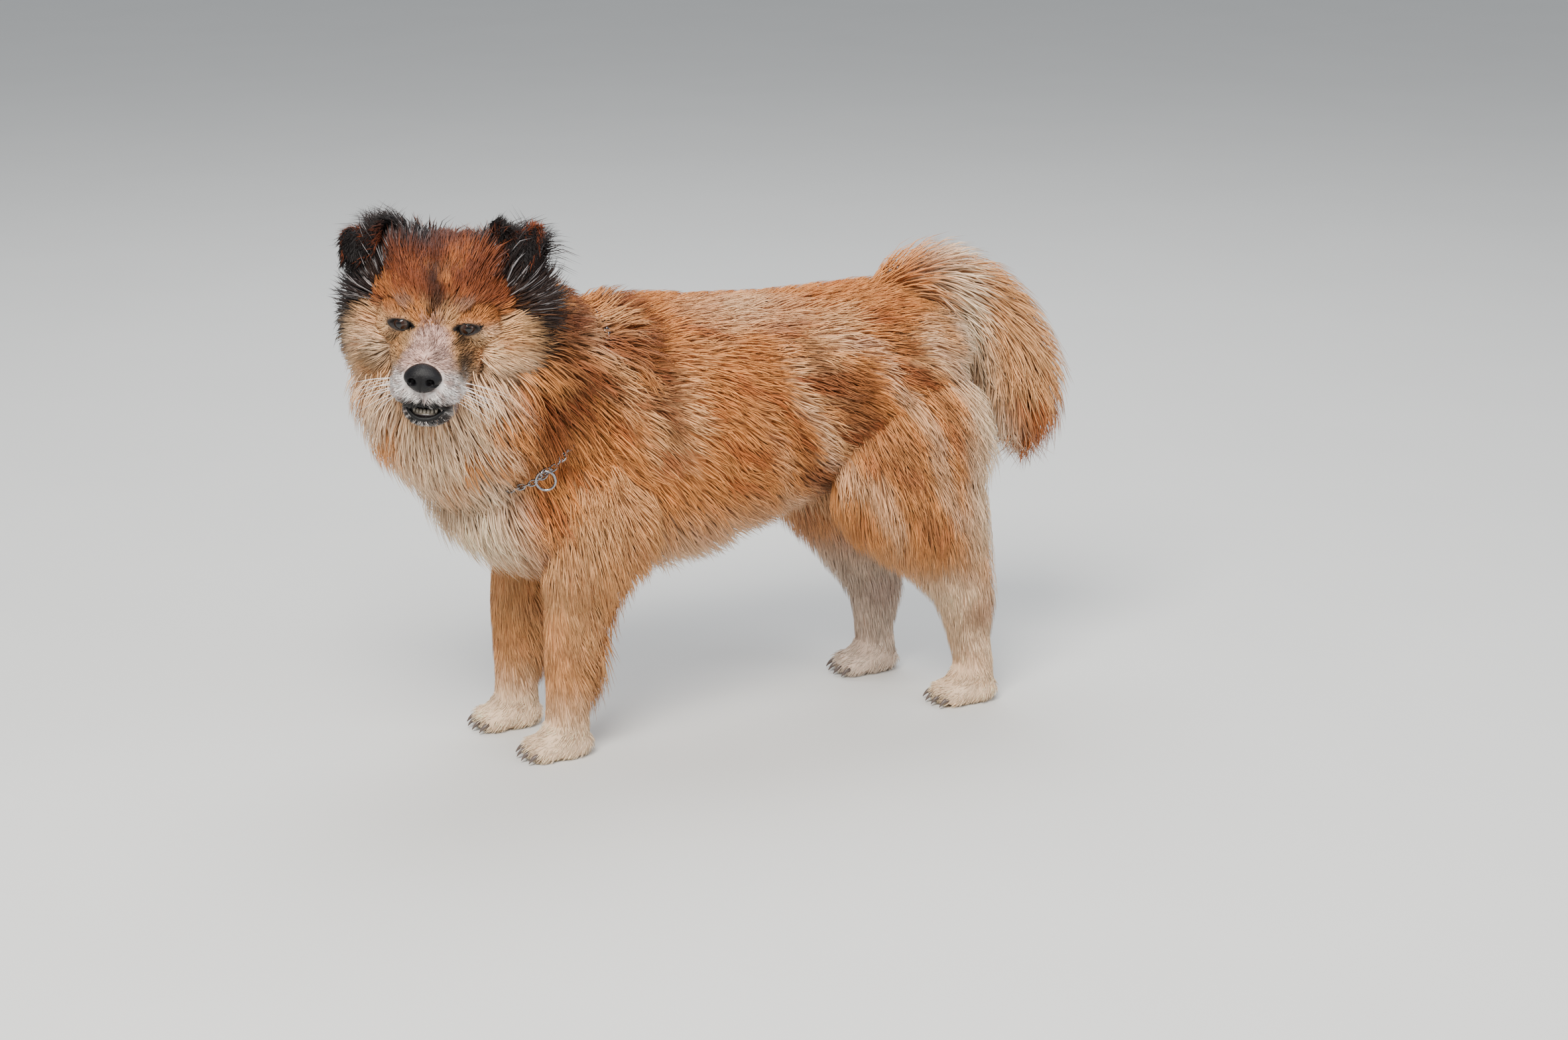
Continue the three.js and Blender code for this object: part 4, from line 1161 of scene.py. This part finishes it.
def ear_grid(name, rows=30, sides=24):
    """A folded ear as a closed leaf: verts in the head's frame, faces, place along and across."""
    ear = EARS[name]
    sign = ear["side"]
    t = np.linspace(0, 1, rows)
    line = spline(ear["line"], t)
    along = unit(np.gradient(line, axis=0))
    start, end = np.array(ear["across"])
    wide = start + (end - start) * t[:, None]
    wide = unit(wide - along * (wide * along).sum(1, keepdims=True))
    thick = np.cross(along, wide)
    half = spline(EAR_HALF, t)
    turn = np.linspace(0, 2 * math.pi, sides, endpoint=False)
    a, b = np.cos(turn), np.sin(turn)
    cup = 5 * (a * a - 0.4)
    verts = line[:, None] + wide[:, None] * (half[:, None] * a)[..., None]
    verts = verts + thick[:, None] * ((3.6 - 1.6 * t)[:, None] * b + cup * (1 - t)[:, None])[..., None]
    verts = verts.reshape(-1, 3) * (1, sign, 1)
    faces = [f[::-sign] for f in ring_faces(rows, sides) + end_faces(rows, sides)]
    return verts, faces, np.repeat(t, sides), np.tile(a, rows)


def ear_colour(h, t, a):
    """Black ears with a rust rim along the fold and down the flap's edges, the rim partly rust hair and
    partly a painted highlight.
    """
    # The rim is partly the ear's rust hair and partly a painted highlight where the fold and the edges
    # catch the light, so the fox colour is brightened.
    fold = np.exp(-(((t - 0.54) / 0.05) ** 2)) * ramp(a, -0.6, 0.2)
    rim = fold + 0.7 * ramp(np.abs(a), 0.86, 1.0) * ramp(t, 0.45, 0.6)
    tip = shade(all_over(tint("charcoal"), t), tint("fox") * 1.3, np.clip(rim, 0, 1) * 0.9)
    return shade(tip, tint("silver"), 0.35 * (1 - ramp(t, 0.1, 0.4)) * ramp(waves(h, 6, 87), 0.3, 0.8))


class CHOW_OT_ears(bpy.types.Operator):
    """Builds the two folded ears with their short fur"""

    bl_idname = "chow.ears"
    bl_label = "Ears"

    def execute(self, context):
        for name, ear in EARS.items():
            verts, faces, t, a = ear_grid(name)
            tone = ear_colour(verts, t, a) * 0.8
            spots = to_row(from_head(verts))
            made = painted_piece(name + "_skin", spots, faces, tone, "chow_skin", [name])
            set_bake_map(made.data, head_unwrap(verts))
            self.fur(name, ear, verts, faces, t, a, mesh_points(made.data, "normal"))
        return {"FINISHED"}

    def fur(self, name, ear, verts, faces, t, a, normals):
        """Short fur along the ear, from its root to its tip."""
        flat = [f for f in faces if len(f) == 4]
        root, n = scatter(from_head(verts), flat, normals, np.ones(len(t)), chow().ear_tufts, 80)
        h = to_head(root)
        tree = kdtree.KDTree(len(verts))
        for i, v in enumerate(verts):
            tree.insert(v, i)
        tree.balance()
        near = np.array([tree.find(p)[1] for p in h])
        place = t[near]
        along = unit(np.gradient(spline(ear["line"], np.linspace(0, 1, 40)), axis=0)) * (1, ear["side"], 1)
        way = along[np.clip((place * 39).astype(int), 0, 39)] @ HEAD_AXES.T
        flow = unit(way - n * (way * n).sum(1, keepdims=True))
        draw = np.random.default_rng(84)
        size = np.tile((17.0, 1.7, 3.6, 0.0, 0.3), (len(h), 1)) * draw.uniform(0.7, 1.3, (len(h), 5))
        size[:, LENGTH] += 16 * (1 - ramp(place, 0.1, 0.45))
        size[:, LIFT] += 9 * (1 - ramp(place, 0.1, 0.45))
        tip = ear_colour(h, place, a[near])
        rows = (root, n, flow, size, tip * 0.6, tip, head_unwrap(h))
        coat_piece("coat_" + name, rows, slice(None), 2, 88)


def eye_axes(sign):
    """The eye's own axes in the head's frame: gaze, left and up."""
    gaze = unit(np.array([1.0, 0.2 * sign, -0.05]))
    left = unit(np.cross([0, 0, 1], gaze))
    return np.array([gaze, left, np.cross(gaze, left)])


class CHOW_OT_eyes(bpy.types.Operator):
    """Builds the eyes and their dark lids"""

    bl_idname = "chow.eyes"
    bl_label = "Eyes and lids"

    def execute(self, context):
        for sign, name in ((1, "eye_left"), (-1, "eye_right")):
            axes = eye_axes(sign)
            centre = EYE * (1, sign, 1)
            verts, faces = ball_mesh((0, 0, 0), (EYE_RADIUS,) * 3, 48, 36)
            off = np.arccos(np.clip(verts @ axes[0] / EYE_RADIUS, -1, 1))
            bulge = 1 + 0.05 * (1 - ramp(off, 0.2, 0.62))
            spots = to_row(from_head(centre + verts * bulge[:, None]))
            tone = all_over(linear(60, 50, 44), verts)
            # The iris, then the pupil, by the angle from the gaze.
            tone = shade(tone, linear(44, 24, 14), 1 - ramp(off, 0.56, 0.64))
            tone = shade(tone, tint("black") * 0.5, 1 - ramp(off, 0.26, 0.32))
            painted_piece(name + "_ball", spots, faces, tone, "chow_eye", [name])
            self.lid(name, centre, axes)
        return {"FINISHED"}

    def lid(self, name, centre, axes):
        """A shell round the eyeball, closed behind, with an almond opening in front."""
        spokes, rings = 64, 14

        def place(ring, spoke):
            turn = 2 * math.pi * spoke / spokes
            side, up = math.cos(turn), math.sin(turn)
            open_up = 0.24 if up > 0 else 0.3
            inner = math.hypot(0.95 * side, open_up * up) * (1 - 0.1 * abs(side) ** 8)
            k = ring / (rings - 1)
            if ring < 2:
                angle, far = inner, EYE_RADIUS * (0.985 + 0.04 * ring)
            else:
                angle = inner + (1.55 - inner) * (k - 0.07) / 0.93
                far = EYE_RADIUS * (1.06 + 0.02 * math.sin(k * 3) - 0.14 * k * k)
            flat = math.sin(angle) * (axes[1] * side + axes[2] * up)
            return centre + far * (axes[0] * math.cos(angle) + flat)

        verts = np.array([place(ring, spoke) for ring in range(rings) for spoke in range(spokes)])
        faces = ring_faces(rings, spokes) + end_faces(rings, spokes)[1:]
        k = np.repeat(np.arange(rings) / (rings - 1), spokes)
        tone = shade(all_over(tint("black"), k), tint("charcoal"), ramp(k, 0.3, 0.7))
        painted_piece(name + "_lids", to_row(from_head(verts)), faces, tone, "chow_lid")


class CHOW_OT_nose(bpy.types.Operator):
    """Builds the nose pad with its nostrils and groove"""

    bl_idname = "chow.nose"
    bl_label = "Nose"

    def execute(self, context):
        verts, faces = ball_mesh((0, 0, 0), (1, 1, 1), 80, 56)
        x, y, z = verts.T
        half_wide = 21 * (1 - 0.24 * np.clip(-z, 0, 1))
        p = np.stack([13.5 * x, half_wide * y, 15.5 * z], -1)
        p[:, 2] += 1.5 * np.clip(1 - np.abs(y), 0, 1) * (z > 0)
        groove = np.exp(-((p[:, 1] / 1.2) ** 2)) * ramp(-z, -0.35, 0.2)
        p[:, 0] -= 2.4 * groove * (x > 0)
        for s in (1, -1):
            hole = (((p - (12, s * 9.6, -1.5)) / (9, 5.2, 4.2)) ** 2).sum(1)
            p[:, 0] -= 8 * np.clip(1 - hole, 0, 1) ** 0.8
            slit = (((p - (9, s * 15.5, -5.5)) / (10, 5, 1.7)) ** 2).sum(1)
            p[:, 0] -= 5 * np.clip(1 - slit, 0, 1) ** 0.8
        spots = to_row(from_head(p + NOSE))
        tone = all_over(linear(8, 6, 8), p)
        painted_piece("nose_pad", spots, faces, tone, "chow_nose", ["nose"])
        return {"FINISHED"}


class CHOW_OT_mouth(bpy.types.Operator):
    """Builds the lips, the lower teeth and the whiskers"""

    bl_idname = "chow.mouth"
    bl_label = "Mouth and whiskers"

    def execute(self, context):
        teeth = [ball_mesh((107, 0, -85), (8, 15, 4), 24, 12)]
        for i in range(-3, 4):
            tall = abs(i) == 3
            at = (112.5 - 0.35 * i * i, i * 4, -80.0 if tall else -81.4)
            teeth.append(ball_mesh(at, (2.1, 1.9, 4.6 if tall else 3.2), 14, 10))
        verts, faces = merged(teeth)
        bone = all_over(linear(140, 130, 116), verts)
        gum = linear(34, 22, 24)
        tone = shade(bone, gum, 1 - ramp(verts[:, 2], -85, -82.5))
        spots = to_row(from_head(verts))
        painted_piece("teeth", spots, faces, tone, "chow_tooth", ["teeth_lower"])
        self.lips()
        self.whisker_set()
        return {"FINISHED"}

    def lips(self):
        """The dark lip line: a soft rope round the opening and back to both corners."""
        turn = np.linspace(0, 2 * math.pi, 72, endpoint=False)
        side, up = np.cos(turn), np.sin(turn)
        y = 23 * side
        z = -80 + np.where(up > 0, 8, 9) * up * (1 - side**4) + 3 * side**2
        x = 121 - 0.022 * y * y - 4 * (up < 0)
        line = np.stack([x, y, z], -1)
        verts, faces = tube(line, 2.6 - 1.2 * side**4, 10, True)
        tone = all_over(tint("black") * 1.4, verts)
        painted_piece("lips", to_row(from_head(verts)), faces, tone, "chow_lid")

    def whisker_set(self):
        """White whiskers from both sides of the muzzle."""
        draw = np.random.default_rng(91)
        parts = []
        for s in (1, -1):
            for i in range(chow().whiskers):
                root = np.array([108 - 5 * (i % 4), s * (26 + 2.5 * (i % 4)), -50 - 5 * (i // 4)])
                way = unit(np.array([-0.25, s, -0.15 - 0.12 * (i // 4) + draw.normal(0, 0.12)]))
                long = draw.uniform(34, 62)
                k = np.linspace(0, 1, 8)[:, None]
                line = root + way * long * k + np.array([0, 0, -10]) * k**2
                parts.append(tube(line, 0.34 * (1 - k[:, 0]) + 0.05, 5, False))
        verts, faces = merged(parts)
        tone = all_over(tint("white"), verts)
        painted_piece("whiskers", to_row(from_head(verts)), faces, tone, "chow_whisker")


def tube(line, radius, sides, loop):
    """A round tube along a line of points, closed in a loop or capped."""
    line = np.asarray(line, float)
    radius = np.broadcast_to(radius, len(line))
    if loop:
        along = unit(np.roll(line, -1, 0) - np.roll(line, 1, 0))
    else:
        along = unit(np.gradient(line, axis=0))
    pole = np.array([0.13, 0.31, 0.94])
    across = unit(np.cross(along, pole))
    over = np.cross(along, across)
    turn = np.linspace(0, 2 * math.pi, sides, endpoint=False)
    ring = across[:, None] * np.cos(turn)[None, :, None] + over[:, None] * np.sin(turn)[None, :, None]
    verts = (line[:, None] + ring * radius[:, None, None]).reshape(-1, 3)
    faces = ring_faces(len(line), sides, loop)
    return verts, faces if loop else faces + end_faces(len(line), sides)


def collar_line(steps):
    """The chain's line, its plane's normal and where its ring hangs, from the frame's own collar node."""
    points = to_plan(mesh_points(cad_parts["collar"].data, "co"))
    normal = unit(COLLAR_NORMAL)
    middle = COLLAR_MIDDLE + normal * ((RING_SPOT - COLLAR_MIDDLE) @ normal)
    down = unit(RING_SPOT - middle)
    across = np.cross(normal, down)
    d = points - middle
    turn = np.degrees(np.arctan2(d @ across, d @ down))
    reach = np.hypot(d @ across, d @ down)
    bins = np.arange(-180, 180, 7.5)
    known = []
    for b in bins:
        near = np.abs((turn - b + 180) % 360 - 180) < 6
        pick = near & (np.abs(b - RING_DEGREES) > 5)
        known.append(reach[pick].mean() if pick.any() else np.nan)
    known = np.array(known)
    good = ~np.isnan(known)
    degrees = np.linspace(-180, 180, steps, endpoint=False)
    far = np.interp(degrees, bins[good], known[good], period=360)
    angle = np.radians(degrees)
    flat = down * np.cos(angle)[:, None] + across * np.sin(angle)[:, None]
    ring = round((RING_DEGREES + 180) / 360 * steps)
    ring_at = middle + flat[ring] * (far[ring] + 7.6) + (-5, -8, 0)
    return middle + flat * far[:, None], normal, ring_at


class CHOW_OT_collar(bpy.types.Operator):
    """Builds the chain collar, link by link, and its pull rings"""

    bl_idname = "chow.collar"
    bl_label = "Chain collar"

    def execute(self, context):
        steps = 720
        line, normal, ring_at = collar_line(steps)
        gaps = np.linalg.norm(np.roll(line, -1, 0) - line, axis=1)
        run = np.concatenate([[0], np.cumsum(gaps)])
        count = int(run[-1] / mm("link_pitch")) // 2 * 2
        parts = []
        turn = np.linspace(0, 2 * math.pi, 20, endpoint=False)
        for i in range(count):
            at = run[-1] * i / count
            k = int(np.searchsorted(run, at)) % steps
            way = unit(line[(k + 3) % steps] - line[(k - 3) % steps])
            out = unit(np.cross(normal, way))
            lean = math.radians(45 if i % 2 else -45)
            flat = normal * math.cos(lean) + out * math.sin(lean)
            oval = line[k] + np.outer(np.cos(turn) * LINK_HALF[0], way)
            oval = oval + np.outer(np.sin(turn) * LINK_HALF[1], flat)
            parts.append(tube(oval, mm("wire"), 8, True))
        for radius, wire, tilt, higher, upright in PULL_RINGS:
            lean = math.radians(tilt)
            flat = np.array([math.cos(lean), math.sin(lean), 0])
            ring = ring_at + (0, 0, higher) + np.outer(np.cos(turn) * radius, flat)
            ring[:, 2] += np.sin(turn) * radius * upright
            parts.append(tube(ring, wire, 10, True))
        verts, faces = merged(parts)
        tone = all_over(linear(150, 150, 154), verts)
        painted_piece("chain", to_row(verts), faces, tone, "chow_chain", ["collar"])
        return {"FINISHED"}


class CHOW_OT_claws(bpy.types.Operator):
    """Builds the claws at the front of each paw"""

    bl_idname = "chow.claws"
    bl_label = "Claws"

    def execute(self, context):
        parts = []
        for x, y in PAWS:
            for off in TOES:
                k = np.linspace(0, 1, 8)[:, None]
                start = np.array([x - 42 + 4 * abs(off), y + off * 14.5, 10.5])
                line = start + np.array([-12, off * 0.6, 1.5]) * k + np.array([0, 0, -9.0]) * k**2
                parts.append(tube(line, 2.6 * (1 - k[:, 0] ** 2) + 0.4, 10, False))
        verts, faces = merged(parts)
        verts[:, 2] = np.maximum(verts[:, 2], COAT_CLEAR)
        tone = all_over(linear(92, 80, 74), verts)
        painted_piece("claws", to_row(verts), faces, tone, "chow_claw")
        return {"FINISHED"}


def area_light(name, place, aim, size, power, colour):
    """A soft light at place, facing aim."""
    data = bpy.data.lights.new(name, "AREA")
    data.size = size
    data.energy = power
    data.color = colour
    made = bpy.data.objects.new(name, data)
    made.location = place
    made.rotation_euler = (Vector(aim) - Vector(place)).to_track_quat("-Z", "Y").to_euler()
    bpy.context.scene.collection.objects.link(made)


class CHOW_OT_stage(bpy.types.Operator):
    """Lays the floor and sets the lights and the camera"""

    bl_idname = "chow.stage"
    bl_label = "Stage"

    def execute(self, context):
        grid = 12
        side = np.linspace(-9, 9, grid)
        verts = [(x, y, 0) for y in side for x in side]
        faces = []
        for r in range(grid - 1):
            for c in range(grid - 1):
                a = r * grid + c
                faces.append((a, a + 1, a + grid + 1, a + grid))
        floor = new_object("floor", np.array(verts), faces)
        material, tree, shader = nodes_of("floor_paint")
        toned(tree, shader, noise_over(tree, 3.0, 4.0), tuple(chow().floor), To_Min=0.97, To_Max=1.03)
        shader.inputs["Roughness"].default_value = 0.85
        floor.data.materials.append(material)
        area_light("key", (-1.6, -2.2, 3.2), (0, 0, 0.3), 1.7, 285, (1, 0.965, 0.91))
        area_light("fill", (2.4, -2.6, 1.8), (0, 0, 0.35), 2.5, 60, (0.92, 0.95, 1))
        area_light("top", (0.6, 1.6, 3.4), (0, 0, 0.4), 2.6, 110, (0.95, 0.97, 1))
        world = bpy.data.worlds.new("studio")
        world.use_nodes = True
        world.node_tree.nodes["Background"].inputs["Color"].default_value = (0.8, 0.84, 0.9, 1)
        world.node_tree.nodes["Background"].inputs["Strength"].default_value = 0.65
        bpy.context.scene.world = world
        self.camera()
        return {"FINISHED"}

    def camera(self):
        """The camera, round to the dog's front and looking down on it."""
        around = math.radians(CAMERA_ROUND)
        height = math.radians(CAMERA_UP)
        flat = math.cos(height)
        back = Vector((math.sin(around) * flat, -math.cos(around) * flat, math.sin(height)))
        aim = Vector(to_row(CAMERA_AIM))
        data = bpy.data.cameras.new("camera")
        data.sensor_width = 36
        data.lens = CAMERA_LENS
        data.clip_start = 0.1
        data.clip_end = 60
        made = bpy.data.objects.new("camera", data)
        made.location = aim + back * CAMERA_FAR
        made.rotation_euler = (-back).to_track_quat("-Z", "Y").to_euler()
        bpy.context.scene.collection.objects.link(made)
        bpy.context.scene.camera = made


OPERATORS = [
    CHOW_OT_stage,
    CHOW_OT_skin,
    CHOW_OT_coat,
    CHOW_OT_head_coat,
    CHOW_OT_ears,
    CHOW_OT_eyes,
    CHOW_OT_nose,
    CHOW_OT_mouth,
    CHOW_OT_collar,
    CHOW_OT_claws,
]


class CHOW_PT_panel(bpy.types.Panel):
    """Lists the model's pieces"""

    bl_idname = "CHOW_PT_panel"
    bl_label = "Chow chow"
    bl_space_type = "VIEW_3D"
    bl_region_type = "UI"
    bl_category = "Chow"

    def draw(self, context):
        for operator in OPERATORS:
            self.layout.operator(operator.bl_idname, text=operator.bl_label)
        for group, kind in ((context.scene.chow, ChowSettings), (context.scene.chow_coat, CoatColours)):
            for name in kind.__annotations__:
                self.layout.prop(group, name)


def register():
    """Registers the classes and the settings."""
    for item in (ChowSettings, CoatColours, *OPERATORS, CHOW_PT_panel):
        bpy.utils.register_class(item)
    bpy.types.Scene.chow = PointerProperty(type=ChowSettings)
    bpy.types.Scene.chow_coat = PointerProperty(type=CoatColours)


def unregister():
    """Takes the classes and the settings away."""
    del bpy.types.Scene.chow_coat
    del bpy.types.Scene.chow
    for item in (CHOW_PT_panel, *reversed(OPERATORS), CoatColours, ChowSettings):
        bpy.utils.unregister_class(item)


def main():
    """Builds everything in order."""
    register()
    for operator in OPERATORS:
        group, action = operator.bl_idname.split(".")
        getattr(getattr(bpy.ops, group), action)()


if __name__ == "__main__":
    main()
